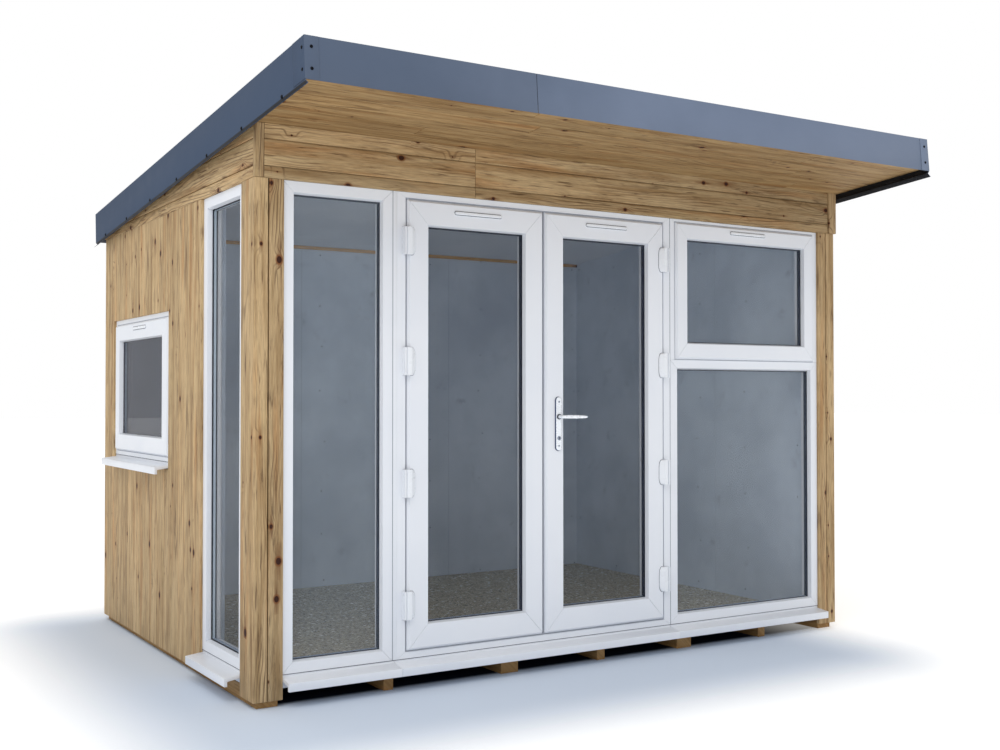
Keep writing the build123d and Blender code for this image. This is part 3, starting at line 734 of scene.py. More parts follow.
def corner_trims():
    """Upright boards that cover the ends of the head boards. The right one stands a little proud."""
    right_end = right_x + right_trim_past
    mesh = bmesh.new()
    for start, end, y in (
        (left_x, left_x + trim_face - trim_gap, front_y),
        (right_end - right_trim_face, right_end, front_y - right_trim_proud),
    ):
        extrude(mesh, rectangle(start, y, end, y + board_thickness), 2, frame_top + trim_gap, trim_length)
    cut_under_roof(mesh)
    piece("corner_trim_boards", mesh, post_wood, 0.002, grain=UP)


def soffit_point(across, down, above=0.0):
    """A point over the soffit's underside: across from the middle, down the slope, and above it."""
    return soffit_start + ACROSS * across + down_slope * down + out_of_roof * above


def soffit_boards():
    """Boards along the soffit with scattered butt joints, left out over the room."""
    chance = random.Random("soffit joints")
    half = (soffit_high.x - soffit_low.x) / 2
    room_low, room_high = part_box("ceiling_boards")
    room_half = (room_high.x - room_low.x) / 2
    room_start = (room_low.y - soffit_low.y) / math.cos(slope)
    room_end = (room_high.y - soffit_low.y) / math.cos(slope) - 0.002
    joint_gap, slack = 0.0008, 0.001
    mesh = bmesh.new()
    for row, (start, end) in enumerate(spans(0.0, soffit_length, soffit_cover)):
        if end > room_start + slack and start < room_end - slack:
            runs = [(-half, -room_half), (room_half, half)]
        else:
            joint = half * (0.55 if row % 2 else -0.45) + chance.uniform(-0.35, 0.35)
            runs = [(-half, joint - joint_gap), (joint + joint_gap, half)]
        for left, right in runs:
            board = rectangle(left, start + soffit_gap / 2, right, end - soffit_gap / 2)
            prism(mesh, [soffit_point(*corner) for corner in board], out_of_roof * soffit_thickness)
    piece("soffit_planks", mesh, soffit_wood, 0.002, grain=ACROSS, stands_for="soffit_boards")


def timber():
    """Every wooden piece of the outside."""
    window_low, window_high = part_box("side_window_frame")
    opening = (window_low.y, window_high.y, window_low.z - side_sill_height, window_high.z)
    wall_boards("left_wall_boards", "left_cladding", 0, left_x, 1, opening)
    wall_boards("right_wall_boards", "right_cladding", 0, right_x, -1)
    wall_boards("back_wall_boards", "back_cladding", 1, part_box("back_cladding")[1].y, -1)
    gable_boards()
    head_boards()
    corner_trims()
    soffit_boards()
    for node in ("left_corner_post", "right_corner_post", "left_front_board", "right_front_board"):
        softened(node, post_wood, 0.0025, grain=UP)
    softened("floor_bearers", bearer_wood, 0.002, grain=BACK)
    repaint(breather_paper, "floor_deck")


# ---- frames and glass

class Light:
    """A frame, sash or cover seen square on from outside: x runs right, y up, depth into the building."""

    def __init__(self, low, high, side="front"):
        front = side == "front"
        across, back = high.x - low.x, high.y - low.y
        self.width, self.depth = (across, back) if front else (back, across)
        self.height = high.z - low.z
        self.right, self.inward = (ACROSS, BACK) if front else (-BACK, ACROSS)
        self.corner = Vector((low.x, low.y if front else high.y, low.z))

    def at(self, x, y, depth):
        return self.corner + self.right * x + UP * y + self.inward * depth


def section_at(points, stile=0.0, bottom=0.0, top=0.0):
    """A frame section from (inset, depth) points, set in by the widths of the stiles and the two rails."""
    return [(stile + inset, bottom + inset, top + inset, depth) for inset, depth in points]


def outer_face(depth):
    """The part of a frame's section that faces outwards round it."""
    return section_at([(0.0, depth), (0.0, 0.0)])


def ring(mesh, light, section, sides="lrbt"):
    """Adds a frame's mitred bars, on the left, right, bottom and top sides that are named.

    A section point gives its inset at the stiles, at the bottom and at the top, and its depth.
    """
    width, height, gap = light.width, light.height, mitre_gap
    ends = {
        "l": lambda x, bottom, top: ((x, bottom + gap), (x, height - top - gap)),
        "r": lambda x, bottom, top: ((width - x, bottom + gap), (width - x, height - top - gap)),
        "b": lambda x, bottom, top: ((x + gap, bottom), (width - x - gap, bottom)),
        "t": lambda x, bottom, top: ((x + gap, height - top), (width - x - gap, height - top)),
    }
    for side in sides:
        near, far = [], []
        for x, bottom, top, depth in section:
            first, second = ends[side](x, bottom, top)
            near.append(light.at(*first, depth))
            far.append(light.at(*second, depth))
        loft(mesh, [near, far])


def rebated(lip, stop):
    """The part of a window frame's section that a sash closes into: a lip in front, and a deeper stop."""
    return [(lip, 0.0), (lip, rebate_depth), (stop, rebate_depth), (stop, frame_depth)]


def light_mouth(stile, bottom, top, depth):
    """Section points of a glazed mouth, from the frame's face to its back: bevel, glass groove and bead."""
    groove = bevel_width - glass_groove
    glass_back = glass_front + glass_depth
    steps = [(0.0, 0.0), (bevel_width, bevel_depth), (bevel_width, glass_front), (groove, glass_front)]
    steps += [(groove, glass_back), (bevel_width, glass_back), (bevel_width, depth - bead)]
    return section_at(steps + [(bevel_width - bead, depth)], stile, bottom, top)


def sash_section(stile, rail, depth):
    """Section of a leaf or sash: its outer edge bevelled to the front, and one glazed mouth."""
    outer = [(0.005, depth), (0.0, depth - 0.020), (0.0, edge_bevel_depth), (edge_bevel, 0.0)]
    return section_at(outer) + light_mouth(stile, rail, rail, depth)


def frame_bars(name, mesh, node, body="pod"):
    """The finished bars of a frame, leaf or sash."""
    piece(name + "_bars", mesh, white_frame, plastic_edge, stands_for=node, body=body)


def glaze(name, light, stile, bottom, top, look=clear_glass, bar=spacer_dark, body="pod"):
    """A sealed unit: two panes, a spacer bar between their edges, and its dark sealant against the panes.

    The bar and the sealant get a paler finish on the faces that look up, as they show at a light's foot:
    painted light.
    """
    groove_clearance, set_back = 0.001, 0.0008
    edge = bevel_width - glass_groove + groove_clearance
    pane = rectangle(stile + edge, bottom + edge, light.width - stile - edge, light.height - top - edge)
    panes = bmesh.new()
    for depth in (glass_front, glass_front + glass_depth - pane_thickness):
        prism(panes, [light.at(x, y, depth) for x, y in pane], light.inward * pane_thickness)
    piece(name + "_panes", panes, look, 0.0006, 1, stands_for=name + "_glass", body=body)
    inner = bevel_width + spacer_show
    near = glass_front + pane_thickness + glass_clearance
    far = glass_front + glass_depth - pane_thickness - glass_clearance
    strips = {
        "_spacer": (bar, [(inner - set_back, near + sealant_front, far - sealant_back)]),
        "_sealant": (spacer_dark, [(inner, near, near + sealant_front), (inner, far - sealant_back, far)]),
    }
    for ending, (finish, runs) in strips.items():
        mesh = bmesh.new()
        for reach, start, end in runs:
            ring(mesh, light, section_at(rectangle(edge, start, reach, end), stile, bottom, top))
        strip = piece(name + ending, mesh, finish, 0.0003, 1, body=body)
        # Painted light: the faces that look up take the paler finish.
        refinish(strip, spacer_top_painted_light, lambda polygon: polygon.normal.z > 0.7)


def gasket(name, light, insets, reach, depth):
    """A grey sealing strip at the bottom of the gap round a leaf or sash."""
    mesh = bmesh.new()
    ring(mesh, light, section_at(rectangle(0.0, depth, reach, depth + gasket_thickness), *insets))
    piece(name, mesh, gasket_grey, 0.0008, 1)


def sash_seal(name, node, side="front"):
    """The sealing strip round a window's sash."""
    gasket(name, Light(*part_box(node), side), (-sash_gap,) * 3, 0.0035, 0.0135)


def fixed_light(name, side, look=clear_glass, bar=spacer_dark):
    """A fixed light: a bevelled frame and its glass."""
    light = Light(*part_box(name + "_frame"), side)
    mesh = bmesh.new()
    ring(mesh, light, outer_face(frame_depth) + light_mouth(face, face, face, frame_depth))
    frame_bars(name, mesh, name + "_frame")
    glaze(name, light, face, face, face, look, bar)


def glazed_sash(name, bars_name, node, side, widths, depth, look, bar=spacer_dark, body="pod"):
    """A door leaf or a window's sash, with its stile and rail widths, and its glass."""
    light = Light(*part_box(node), side)
    stile, rail = widths
    mesh = bmesh.new()
    ring(mesh, light, sash_section(stile, rail, depth))
    frame_bars(bars_name, mesh, node, body)
    glaze(name, light, stile, rail, rail, look, bar, body)


def door_set():
    """The door frame and its two leaves."""
    light = Light(*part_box("door_frame"))
    insets = (door_stile, door_threshold, door_head)
    lip, rebate, stop = 0.0012, 0.063, 0.020
    steps = [(lip, 0.0), (lip, 0.008), (0.0, 0.008), (0.0, rebate), (stop, rebate), (stop, door_frame_depth)]
    mesh = bmesh.new()
    ring(mesh, light, outer_face(door_frame_depth) + section_at(steps, *insets))
    frame_bars("door_frame", mesh, "door_frame")
    gasket("door_seal", light, insets, 0.0072, 0.0085)
    widths = (leaf_stile, leaf_rail)
    for name in ("left_door", "right_door"):
        glazed_sash(name, name, name + "_leaf", "front", widths, frame_depth, door_glass, body=name)


def casement():
    """The right-hand unit: a fixed light under a transom, and a top-hung sash over it."""
    node = "casement_frame"
    low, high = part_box(node)
    lower, upper = Light(low, high), Light(low, high)
    lower.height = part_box("opener_sash")[0].z - low.z - sash_gap
    upper.corner = lower.at(0, lower.height, 0)
    upper.height -= lower.height
    mesh = bmesh.new()
    ring(mesh, lower, outer_face(frame_depth) + light_mouth(face, face, transom, frame_depth))
    lip, top_lip, stop = 0.029, 0.012, 0.016
    steps = [(0.0, 0.0)] + rebated(lip, face) + [(0.0, frame_depth)]
    section = [(x, 0.0, x * top_lip / lip if x <= lip else top_lip + stop, depth) for x, depth in steps]
    ring(mesh, upper, section, "lrt")
    frame_bars("casement", mesh, node)
    glaze("lower_light", lower, face, face, transom)
    sash_seal("opener_seal", "opener_sash")
    widths = (opener_stile, opener_rail)
    glazed_sash("opener", "opener", "opener_sash", "front", widths, sash_depth, opener_glass)


def side_window():
    """The opening window in the left wall."""
    node = "side_window_frame"
    lip, stop = 0.022, 0.038
    mesh = bmesh.new()
    ring(mesh, Light(*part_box(node), "left"), outer_face(frame_depth) + section_at(rebated(lip, stop)))
    frame_bars("side_window", mesh, node)
    sash = "side_window_sash"
    sash_seal("side_window_seal", sash, "left")
    widths = (side_stile, side_rail)
    glazed_sash("side_window", "side_sash", sash, "left", widths, sash_depth, side_glass_painted_shade, spacer_painted_light)


def frame_seals():
    """Thin seals in the upright joints between the frames of the front."""
    low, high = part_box("door_frame")
    start = low.z + 0.002
    half, stand = 0.0014, 0.0005
    mesh = bmesh.new()
    for x in (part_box("coupling_post")[0].x, high.x):
        extrude(mesh, rectangle(x - half, low.y - stand, x + half, low.y), 2, start, high.z - start)
    piece("frame_joint_seals", mesh, joint_seal)


def sill_seals():
    """Thin dark strips where the frames of the front and the left side meet their sills: partly a seal,
    partly painted shade for the gap.
    """
    low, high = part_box("fixed_light_frame")[0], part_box("casement_frame")[1]
    strips = [(rectangle(low.x, low.y - seal_stand, high.x, low.y), low.z)]
    for node in ("side_light_frame", "side_window_frame"):
        low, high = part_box(node)
        strips.append((rectangle(low.x - seal_stand, low.y, low.x, high.y), low.z))
    mesh = bmesh.new()
    for outline, z in strips:
        extrude(mesh, outline, 2, z, seal_height)
    # Partly a seal's own dark colour, partly painted shade for the gap under the frames.
    piece("sill_seals", mesh, sill_seal)


def sill_aprons():
    """Thin white boards under the front sill and the side light's, seen past the ends of their noses."""
    behind_face = board_thickness - apron_thickness - 0.0003
    inset = 0.0005
    mesh = bmesh.new()
    for node, axis, outer in (("front_sills", 1, front_y), ("side_light_sill", 0, left_x)):
        low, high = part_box(node)
        along = 1 - axis
        bottom = low.z + inset
        outline = rectangle(low[along] + inset, bottom, high[along] - inset, bottom + apron_height)
        extrude(mesh, outline, axis, outer + behind_face, apron_thickness)
    piece("sill_aprons", mesh, white_frame, 0.0004, 1)


def glazing():
    """Every framed light, the post that couples two of them, and the sills."""
    fixed_light("fixed_light", "front")
    fixed_light("side_light", "left", door_glass, spacer_painted_light)
    door_set()
    casement()
    side_window()
    softened("coupling_post", white_frame, 0.001)
    frame_seals()
    sill_seals()
    sill_aprons()
    for node in ("front_sills", "side_light_sill", "side_window_sill"):
        softened(node, white_frame, 0.0018)


# ---- vents, hinges and handle

def pill(at, length, height, depth, steps=10):
    """Outline of a bar with round ends, through a function that places its x, y and depth."""
    radius = height / 2
    reach = length / 2 - radius
    points = []
    for side in (1, -1):
        for step in range(steps + 1):
            angle = math.pi * (step / steps - side / 2)
            points.append(at(side * reach + radius * math.cos(angle), radius * math.sin(angle), depth))
    return points


def vent(name, low, high, side, body="pod", stands_for=None):
    """A trickle vent's cover: a low bar with round ends, a groove inside its edge and a raised middle."""
    light = Light(low, high, side)
    thickness = light.depth

    def at(x, y, out):
        return light.at(light.width / 2 + x, light.height / 2 + y, thickness - out)

    def outline(inset, out):
        return pill(at, light.width - 2 * inset, light.height - 2 * inset, thickness * out)

    steps = [(0.0, 0.0), (0.0, 0.35), (0.0005, 0.45), (0.0014, 0.45), (0.0016, 0.15), (0.0043, 0.15)]
    steps += [(0.0045, 1.2), (0.0055, 1.55), (0.0070, 1.7)]
    cover = bmesh.new()
    loft(cover, [outline(*step) for step in steps])
    piece(name + "_cover", cover, white_trim, stands_for=stands_for, body=body)
    # Painted shade: a thin dark sheet on the groove's floor darkens the groove.
    line = bmesh.new()
    prism(line, outline(0.0017, 0.16), -light.inward * 0.0002)
    piece(name + "_groove", line, painted_shade_grey, body=body)


def vents():
    """Vents in the heads of both doors, the opener and the side window."""
    for door in ("left_door", "right_door"):
        vent(door + "_vent", *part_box(door + "_vent"), "front", door, door + "_vent")
    vents_low, vents_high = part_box("window_vents")
    half = vent_length / 2
    low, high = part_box("opener_sash")
    middle = (low.x + high.x) / 2
    vent("opener_vent", Vector((middle - half, low.y - vent_depth, vents_high.z - vent_height)),
         Vector((middle + half, low.y, vents_high.z)), "front", stands_for="window_vents")
    low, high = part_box("side_window_sash")
    middle = (low.y + high.y) / 2
    vent("side_vent", Vector((low.x - vent_depth, middle - half, vents_low.z)),
         Vector((low.x, middle + half, vents_low.z + vent_height)), "left")


def arc(radius, start, end, steps=6):
    """Points along an arc about the pin, from one angle to another in degrees."""
    angles = [math.radians(start + (end - start) * step / steps) for step in range(steps + 1)]
    return [(radius * math.cos(angle), radius * math.sin(angle)) for angle in angles]


def cover_section(reach):
    """Section of the leaf's cover about the pin: it wraps the knuckles and slopes down to the leaf's face."""
    points = arc(cover_radius, 180, 270)
    points += [(0.014, -cover_radius), (reach - 0.002, 0.0035), (reach, 0.0055), (reach, pin_stand_off)]
    return points + [(cover_start, pin_stand_off)] + arc(bore_radius, 30, -180, 12)


def shadow_line_section(reach):
    """Section of a thin grey sheet, a little wider than the cover and just behind it: its rim shows as a
    painted shadow line.
    """
    return rectangle(cover_start, pin_stand_off - 0.0006, reach + shadow_line_lip, pin_stand_off)


def hinge_cover(mesh, x, toward_leaf, middle, section, half):
    """One hinge's cover or its painted shadow line, full at mid height and rounded off at both ends."""
    sections = []
    shares = (0.41, 0.50, 0.65, 0.78, 0.88, 0.95, 0.985, 1.0)
    for share in [-share for share in reversed(shares)] + list(shares):
        past = max(0.0, abs(share) * hinge_half - (hinge_half - cover_end_height)) / cover_end_height
        reach = cover_end_reach + (cover_reach - cover_end_reach) * math.sqrt(max(0.0, 1 - past ** 2))
        z = middle + share * half
        points = section(reach)
        sections.append([Vector((x + toward_leaf * u, front_y - pin_stand_off + v, z)) for u, v in points])
    loft(mesh, sections)


def knuckle(mesh, x, bottom, top):
    """One round knuckle on the pin, with slightly domed ends."""
    height = top - bottom
    dome = [(0.005, 0.0), (0.0068, 0.0008), (knuckle_radius, 0.0024)]
    profile = dome + [(radius, height - past) for radius, past in reversed(dome)]
    turned(mesh, Vector((x, front_y - pin_stand_off, bottom)), UP, profile)


def frame_block(mesh, x, toward_leaf, middle):
    """The frame's block beside the pin, its inner side cut back so that the open leaf's cover clears it."""
    outline = [(-0.0190, -0.0072), (-0.0170, -0.0092), (-0.0124, -0.0092), (-0.0098, 0.0), (-0.0098, 0.0215)]
    outline += [(-0.0190, 0.0215)]
    start = Vector((x, front_y - pin_stand_off, middle - hinge_half))
    corners = [start + ACROSS * toward_leaf * u + BACK * v for u, v in outline]
    prism(mesh, corners, UP * 2 * hinge_half)


def hinges():
    """Flag hinges: the frame's block and lower knuckle, and the leaf's upper knuckle and cover."""
    low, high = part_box("frame_hinges")
    end_gap, middle_gap = 0.001, 0.0005
    fixed = bmesh.new()
    for name, toward_leaf, x in (("left_door", 1, low.x + pin_inset), ("right_door", -1, high.x - pin_inset)):
        moving = bmesh.new()
        painted_shadow_lines = bmesh.new()
        for middle in hinge_heights:
            knuckle(fixed, x, middle - hinge_half + end_gap, middle - middle_gap)
            knuckle(moving, x, middle + middle_gap, middle + hinge_half - end_gap)
            frame_block(fixed, x, toward_leaf, middle)
            hinge_cover(moving, x, toward_leaf, middle, cover_section, hinge_half)
            # Painted shadow line round each cover.
            hinge_cover(painted_shadow_lines, x, toward_leaf, middle, shadow_line_section, hinge_half + shadow_line_lip)
        piece(name + "_hinge_covers", moving, white_trim, 0.0006, 1,
              stands_for=name + "_hinges", body=name)
        piece(name + "_hinge_pads", painted_shadow_lines, painted_shade_grey, body=name)
    piece("frame_hinge_blocks", fixed, white_trim, 0.0010, stands_for="frame_hinges")


def plate_outline(centre, width, height):
    """Outline of an upright handle plate with round ends."""
    return pill(lambda x, y, depth: centre + Vector((-y, depth, x)), height, width, 0.0, 12)


def handle():
    """Handle plates on dark bases whose rims are painted shade, with screws and key cylinders, and the lever.
    """
    low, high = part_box("handle_plates")
    leaf_low, leaf_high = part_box("right_door_leaf")
    x = (low.x + high.x) / 2
    width, height = high.x - low.x, high.z - low.z
    steps = ((0.0, 0.0), (0.0, 0.0055), (0.0010, 0.0074), (0.0030, 0.0087), (0.0060, 0.0090))
    cylinder = [(0.0095, 0.0), (0.0095, 0.0022), (0.0085, 0.003), (0.002, 0.0032)]
    slot_width, slot_height, slot_out, slot_depth = 0.0018, 0.0060, 0.0029, 0.0006
    base_lip, base_depth, screw_radius = 0.0030, 0.0016, 0.0042
    bases, plates, metal, dark = [bmesh.new() for _ in range(4)]
    for side, leaf_y, plate_y in ((-1, leaf_low.y, low.y), (1, leaf_high.y, high.y)):
        outward = BACK * side
        start = Vector((x, leaf_y, (low.z + high.z) / 2))
        prism(bases, plate_outline(start, width + base_lip, height + base_lip), outward * base_depth)
        loft(plates, [plate_outline(start + outward * out, width - 2 * inset, height - 2 * inset)
                      for inset, out in steps])
        for z in (low.z + plate_screw_inset, high.z - plate_screw_inset):
            screw_head(metal, Vector((x, plate_y, z)), outward, screw_radius)
        z = low.z + cylinder_height
        turned(metal, Vector((x, plate_y, z)), outward, cylinder)
        # A dark sheet on the cylinder's face: painted shade for the keyhole.
        slot = rectangle(x - slot_width, z - slot_height, x + slot_width, z + slot_height)
        extrude(dark, slot, 1, plate_y + side * slot_out, side * slot_depth)
    piece("handle_bases", bases, plate_rim_shade, 0.0003, 1, body="right_door")
    covers = piece("handle_plate_covers", plates, handle_metal,
                   stands_for="handle_plates", body="right_door")
    # Painted shade on the plate's sides.
    refinish(covers, handle_flank_shade, lambda polygon: abs(polygon.normal.y) < 0.6)
    piece("handle_screws", metal, fitting_metal, body="right_door")
    piece("key_slots", dark, spacer_dark, 0.0002, 1, body="right_door")
    lever()


def rounded_section(centre, width, height, steps=6):
    """A rounded rectangle in the plane across a lever's blade: width in Y, height in Z."""
    radius = min(width, height) * 0.38
    points = []
    for corner_y, corner_z, start in ((1, -1, -90), (1, 1, 0), (-1, 1, 90), (-1, -1, 180)):
        for step in range(steps):
            angle = math.radians(start + 90 * step / (steps - 1))
            y = corner_y * (width / 2 - radius) + radius * math.cos(angle)
            z = corner_z * (height / 2 - radius) + radius * math.sin(angle)
            points.append(centre + Vector((0, y, z)))
    return points


def lever():
    """The lever on both faces of the door: a round neck, a dark collar, and a tapered blade."""
    body = "door_lever"
    low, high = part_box(body)
    plates_low, plates_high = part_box("handle_plates")
    length = high.x - low.x
    middle_z = (low.z + high.z) / 2
    neck_inset, neck_sunk, neck_gap, collar_out, blade_half = 0.009, 0.004, 0.002, 0.0045, 0.0066
    washer = [(0.0080, 0.0), (0.0122, 0.0004), (0.0122, 0.0030), (0.0080, 0.0036)]
    # Share of the blade's length, then the width, height and sag there.
    blade_sections = (
        (0.0, 0.0040, 0.0050, 0.0), (0.015, 0.0086, 0.0108, 0.0), (0.06, 0.0112, 0.0146, 0.0),
        (0.25, 0.0122, 0.0168, 0.0), (0.50, 0.0120, 0.0172, -0.0003), (0.75, 0.0108, 0.0150, -0.0008),
        (0.90, 0.0094, 0.0126, -0.0012), (0.98, 0.0068, 0.0088, -0.0015), (1.0, 0.0034, 0.0042, -0.0015),
    )
    blade = bmesh.new()
    collar = bmesh.new()
    for side, tip_y, plate_y in ((-1, low.y, plates_low.y), (1, high.y, plates_high.y)):
        axis = BACK * side
        start = Vector((low.x + neck_inset, plate_y - side * neck_sunk, middle_z))
        neck_end = abs(tip_y - plate_y) - neck_gap
        turned(blade, start, axis, [(0.0086, 0.0), (0.0086, 0.006), (0.0074, 0.012), (0.0074, neck_end)])
        turned(collar, start + axis * collar_out, axis, washer)
        sections = []
        for share, width, height, sag in blade_sections:
            centre = Vector((low.x + length * share, tip_y - side * blade_half, middle_z + sag))
            sections.append(rounded_section(centre, width, height))
        loft(blade, sections)
    blades = piece("lever_blades", blade, handle_metal, stands_for=body, body=body)
    for polygon in blades.data.polygons:
        polygon.use_smooth = len(polygon.vertices) == 4
    piece("lever_collars", collar, spacer_dark, body=body)


# ---- roof trims and the inside

def trims():
    """Folded roof trims and their corner caps: the lighter slate on faces that look forward, a darker copy on
    the sides, and near-black on faces towards the roof, as painted light and shade.
    """
    roof_middle = (soffit_low.x + soffit_high.x) / 2

    def looks_forward(polygon):
        return polygon.normal.y < -0.7

    def looks_inward(polygon):
        outward = polygon.normal.x * (polygon.center.x - roof_middle)
        return not looks_forward(polygon) and (outward < -0.5 or polygon.normal.z < -0.7)

    for node in ("front_fascia", "back_fascia"):
        sheet = softened(node, slate_metal, 0.0004, 1)
        # Painted shade on the ends of the front and back fascias.
        refinish(sheet, back_painted_shade, lambda polygon: abs(polygon.normal.x) > 0.4)
    for node in ("left_fascia", "right_fascia", "corner_caps"):
        # Painted shade: sides take the darker slate, forward faces the lighter, inward and downward faces
        # near-black.
        sheet = softened(node, slate_painted_shade, 0.0006, 1)
        refinish(sheet, slate_metal, looks_forward)
        refinish(sheet, back_painted_shade, looks_inward)
    repaint(roof_rubber, "roof_membrane")
    repaint(breather_paper, "roof_panel")


def trim_screws():
    """Screws in the corner caps, on both their faces, and along the side trims."""
    low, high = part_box("corner_caps")
    half = (high.x - low.x) / 2
    mesh = bmesh.new()
    cap_face, trim_inset, trim_drop = -0.0035, 0.0015, -0.018
    for side in (-1, 1):
        outward = ACROSS * side
        for above in (0.102, 0.022):
            screw_head(mesh, soffit_point(side * (half - 0.027), cap_face, above), -down_slope, cap_screw)
            screw_head(mesh, soffit_point(side * half, 0.018, above), outward, cap_screw)
        down = first_side_screw
        while down < soffit_length - 0.05:
            screw_head(mesh, soffit_point(side * (half - trim_inset), down, trim_drop), outward, side_screw)
            down += side_screw_step
    piece("trim_screws", mesh, screw_metal)


def nail_rows(mesh, wall, start, across, width, height, outward):
    """Nail heads over a wall in rough rows."""
    chance = random.Random(wall + " nails")
    head = [(0.0038, -0.0004), (0.0038, 0.0004), (0.0024, 0.0008)]
    inset = 0.03
    columns = max(2, round(width / 0.40))
    rows = max(2, round(height / 0.30))
    for column in range(columns + 1):
        for row in range(rows + 1):
            x = inset + (width - 2 * inset) * column / columns + chance.uniform(-0.018, 0.018)
            y = inset + (height - 2 * inset) * row / rows + chance.uniform(-0.03, 0.03)
            turned(mesh, start + across * x + UP * y, outward, head, 10)


def reveals():
    """Thin boards over the cut ends of the left wall, round its windows, and inside the right post."""
    thin, inset, corner, clear = 0.0015, 0.0001, 0.002, 0.0005
    light_low, light_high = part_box("side_light_frame")
    low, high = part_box("side_window_frame")
    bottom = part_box("side_window_sill")[0].z
    strips = (
        (light_high.y - thin, light_low.z, light_high.y - inset, light_high.z),
        (low.y + inset, bottom, low.y + thin, high.z),
        (high.y - thin, bottom, high.y - inset, high.z),
        (low.y + corner, high.z - thin, high.y - corner, high.z - inset),
        (low.y + corner, bottom + inset, high.y - corner, bottom + thin),
    )
    start = light_high.x + clear
    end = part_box("left_lining")[1].x - clear
    mesh = bmesh.new()
    for strip in strips:
        extrude(mesh, rectangle(*strip), 0, start, end - start)
    room_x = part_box("right_lining")[0].x
    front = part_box("casement_frame")[1].y + 0.0004
    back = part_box("right_corner_post")[1].y + 0.002
    floor_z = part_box("floor_covering")[1].z + clear
    extrude(mesh, rectangle(room_x - thin, front, room_x - inset, back), 2, floor_z, post_reveal_height)
    piece("wall_reveals", mesh, lining_paint, 0.0003, 1)


def inside():
    """The room: linings with their nails and joints, ceiling, floor and a cut timber strip at the back."""
    repaint(lining_paint, "back_lining", "left_lining", "right_lining")
    repaint(ceiling_paint, "ceiling_boards", "front_header")
    repaint(vinyl, "floor_covering")
    repaint(breather_paper, "back_wall_core", "left_wall_core", "right_wall_core")
    reveals()
    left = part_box("left_lining")[1].x
    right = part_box("right_lining")[0].x
    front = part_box("left_lining")[0].y
    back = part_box("back_lining")[0].y
    wall_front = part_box("left_cladding")[0].y
    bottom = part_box("floor_covering")[1].z
    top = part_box("back_lining")[1].z - 0.02
    height = top - bottom
    left_nails = 0.45

    nails = bmesh.new()
    nail_rows(nails, "back", Vector((left, back, bottom)), ACROSS, right - left, height, -BACK)
    nail_rows(nails, "right", Vector((right, front, bottom)), BACK, back - front, height, -ACROSS)
    nail_rows(nails, "left", Vector((left, wall_front, bottom)), BACK, left_nails, height, ACROSS)
    piece("lining_nails", nails, screw_metal)

    seam, behind, thickness = 0.0015, 0.0006, 0.0008
    seams = bmesh.new()
    for share in (0.333, 0.667):
        x = left + (right - left) * share
        y = front + (back - front) * share
        extrude(seams, rectangle(x - seam, bottom, x + seam, top), 1, back - behind, thickness)
        extrude(seams, rectangle(y - seam, bottom, y + seam, top), 0, right - behind, thickness)
    piece("lining_seams", seams, seam_paint)

    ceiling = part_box("ceiling_boards")[0].z
    strip_depth, strip_height = 0.012, 0.019
    strip = bmesh.new()
    section = rectangle(back - strip_depth, ceiling - strip_height, back - 0.0003, ceiling - 0.0005)
    extrude(strip, section, 0, left + 0.001, right - left - 0.002)
    piece("ceiling_strip", strip, strip_wood, 0.001, 1, grain=ACROSS)


# ---- studio

def distance_past(look, point, middle, half):
    """How far a floor point lies outside a rectangle, as a shader value."""
    squares = []
    for channel, centre, reach in zip(look.parts(point), middle, half):
        aside = look.math("ABSOLUTE", look.math("SUBTRACT", channel, centre))
        past = look.math("MAXIMUM", look.math("SUBTRACT", aside, reach), 0.0)
        squares.append(look.math("POWER", past, 2.0))
    return look.math("SQRT", look.math("ADD", *squares))


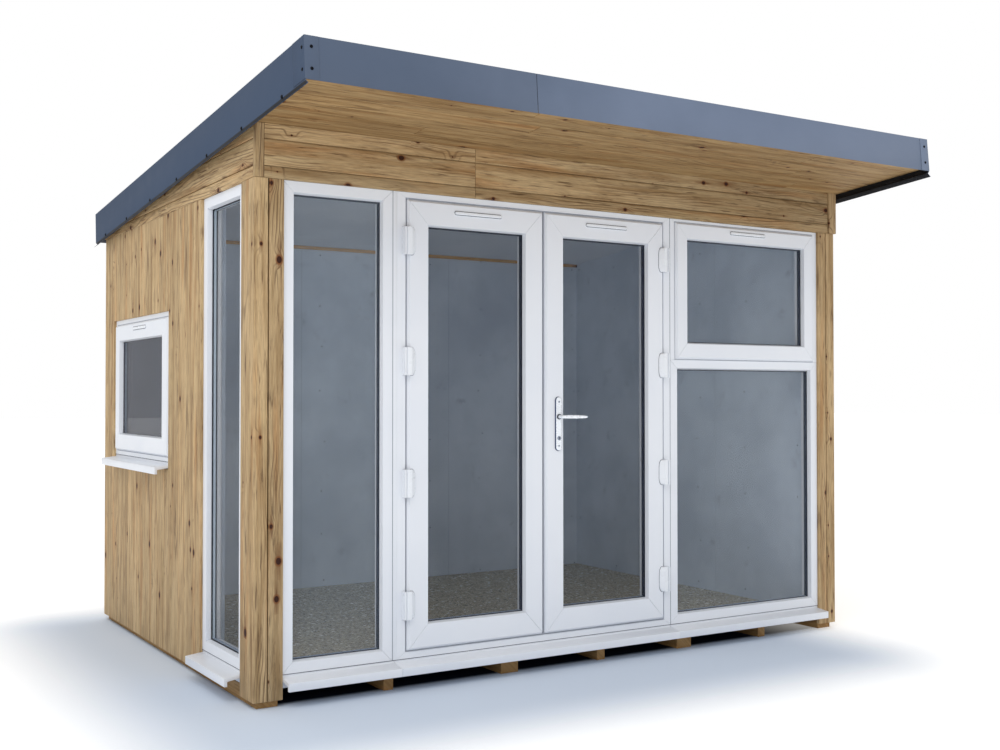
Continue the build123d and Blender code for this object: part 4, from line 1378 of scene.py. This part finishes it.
def studio_floor():
    """A pale floor with painted shadow: bluish round the building and near-black under it, turning to glowing
    plain white away from it.
    """
    mesh = bmesh.new()
    corners = rectangle(-floor_reach, -floor_reach, floor_reach, floor_reach)
    mesh.faces.new([mesh.verts.new((x, y, 0.0)) for x, y in corners])
    data = bpy.data.meshes.new("studio_floor")
    mesh.to_mesh(data)
    mesh.free()
    floor = bpy.data.objects.new("studio_floor", data)
    scene.collection.objects.link(floor)
    look = Look("studio_floor_painted_shadow", 0.9)
    look.set("Specular IOR Level", 0.1)
    point = look.object_point()
    cloud = look.noise(point, 0.4, 2.0)
    # Painted shadow: bluish floor round the building, near-black under it; away from it the floor turns white
    # and glows as the backdrop.
    away = look.span(distance_past(look, point, painted_shadow_middle, painted_shadow_half), 0.0, 0.75)
    under = look.span(distance_past(look, point, under_shadow_middle, under_shadow_half), 0.05, 0.0)
    near = look.mix(cloud, (0.68, 0.77, 0.91, 1.0), (0.70, 0.79, 0.92, 1.0))
    open_floor = look.mix(away, near, (0.90, 0.92, 0.95, 1.0))
    look.colour(look.mix(under, open_floor, (0.010, 0.014, 0.035, 1.0)))
    look.set("Emission Color", (1.0, 0.97, 0.92, 1.0))
    look.set("Emission Strength", look.times(away, 0.42))
    data.materials.append(look.material)
    floor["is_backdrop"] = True


def surround():
    """An even surround, dimmer as a light than it looks, so that its white doesn't wash the pod out."""
    world = bpy.data.worlds.new("studio_surround")
    world.use_nodes = True
    tree = world.node_tree
    background = tree.nodes["Background"]
    background.inputs["Color"].default_value = (1.0, 1.0, 1.0, 1.0)
    path = tree.nodes.new("ShaderNodeLightPath")
    strength = tree.nodes.new("ShaderNodeMapRange")
    strength.inputs["To Min"].default_value = surround_light
    strength.inputs["To Max"].default_value = 1.0
    tree.links.new(path.outputs["Is Camera Ray"], strength.inputs["Value"])
    tree.links.new(strength.outputs[0], background.inputs["Strength"])
    scene.world = world


def studio():
    """A pale floor, an even surround and one broad soft light from above the front."""
    studio_floor()
    surround()
    key = bpy.data.lights.new("key_light", "AREA")
    key.shape = "RECTANGLE"
    key.size = 6.0
    key.size_y = 5.0
    key.energy = key_power
    key.color = (1.0, 0.99, 0.97)
    lamp = bpy.data.objects.new("key_light", key)
    lamp.location = (-4.8, -4.4, 7.3)
    lamp.rotation_euler = (Vector((0, 0, 0.9)) - lamp.location).to_track_quat("-Z", "Y").to_euler()
    scene.collection.objects.link(lamp)
    scene.view_settings.view_transform = "Standard"


def camera():
    """The camera stands at the left of the front, level with the door handle."""
    data = bpy.data.cameras.new("camera")
    data.sensor_width = 36.0
    data.lens = 43.49
    eye = bpy.data.objects.new("camera", data)
    eye.location = (left_x - 1.68477, front_y - 4.52608, 1.23230)
    eye.rotation_euler = (math.radians(90.955), math.radians(0.0095), math.radians(-31.93))
    scene.collection.objects.link(eye)
    scene.camera = eye


timber()
glazing()
hinges()
vents()
handle()
trims()
trim_screws()
inside()
studio()
camera()

boxes = {"cad": cad_box, "visual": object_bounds()}
{name: [list(corner) for corner in box] for name, box in boxes.items()}
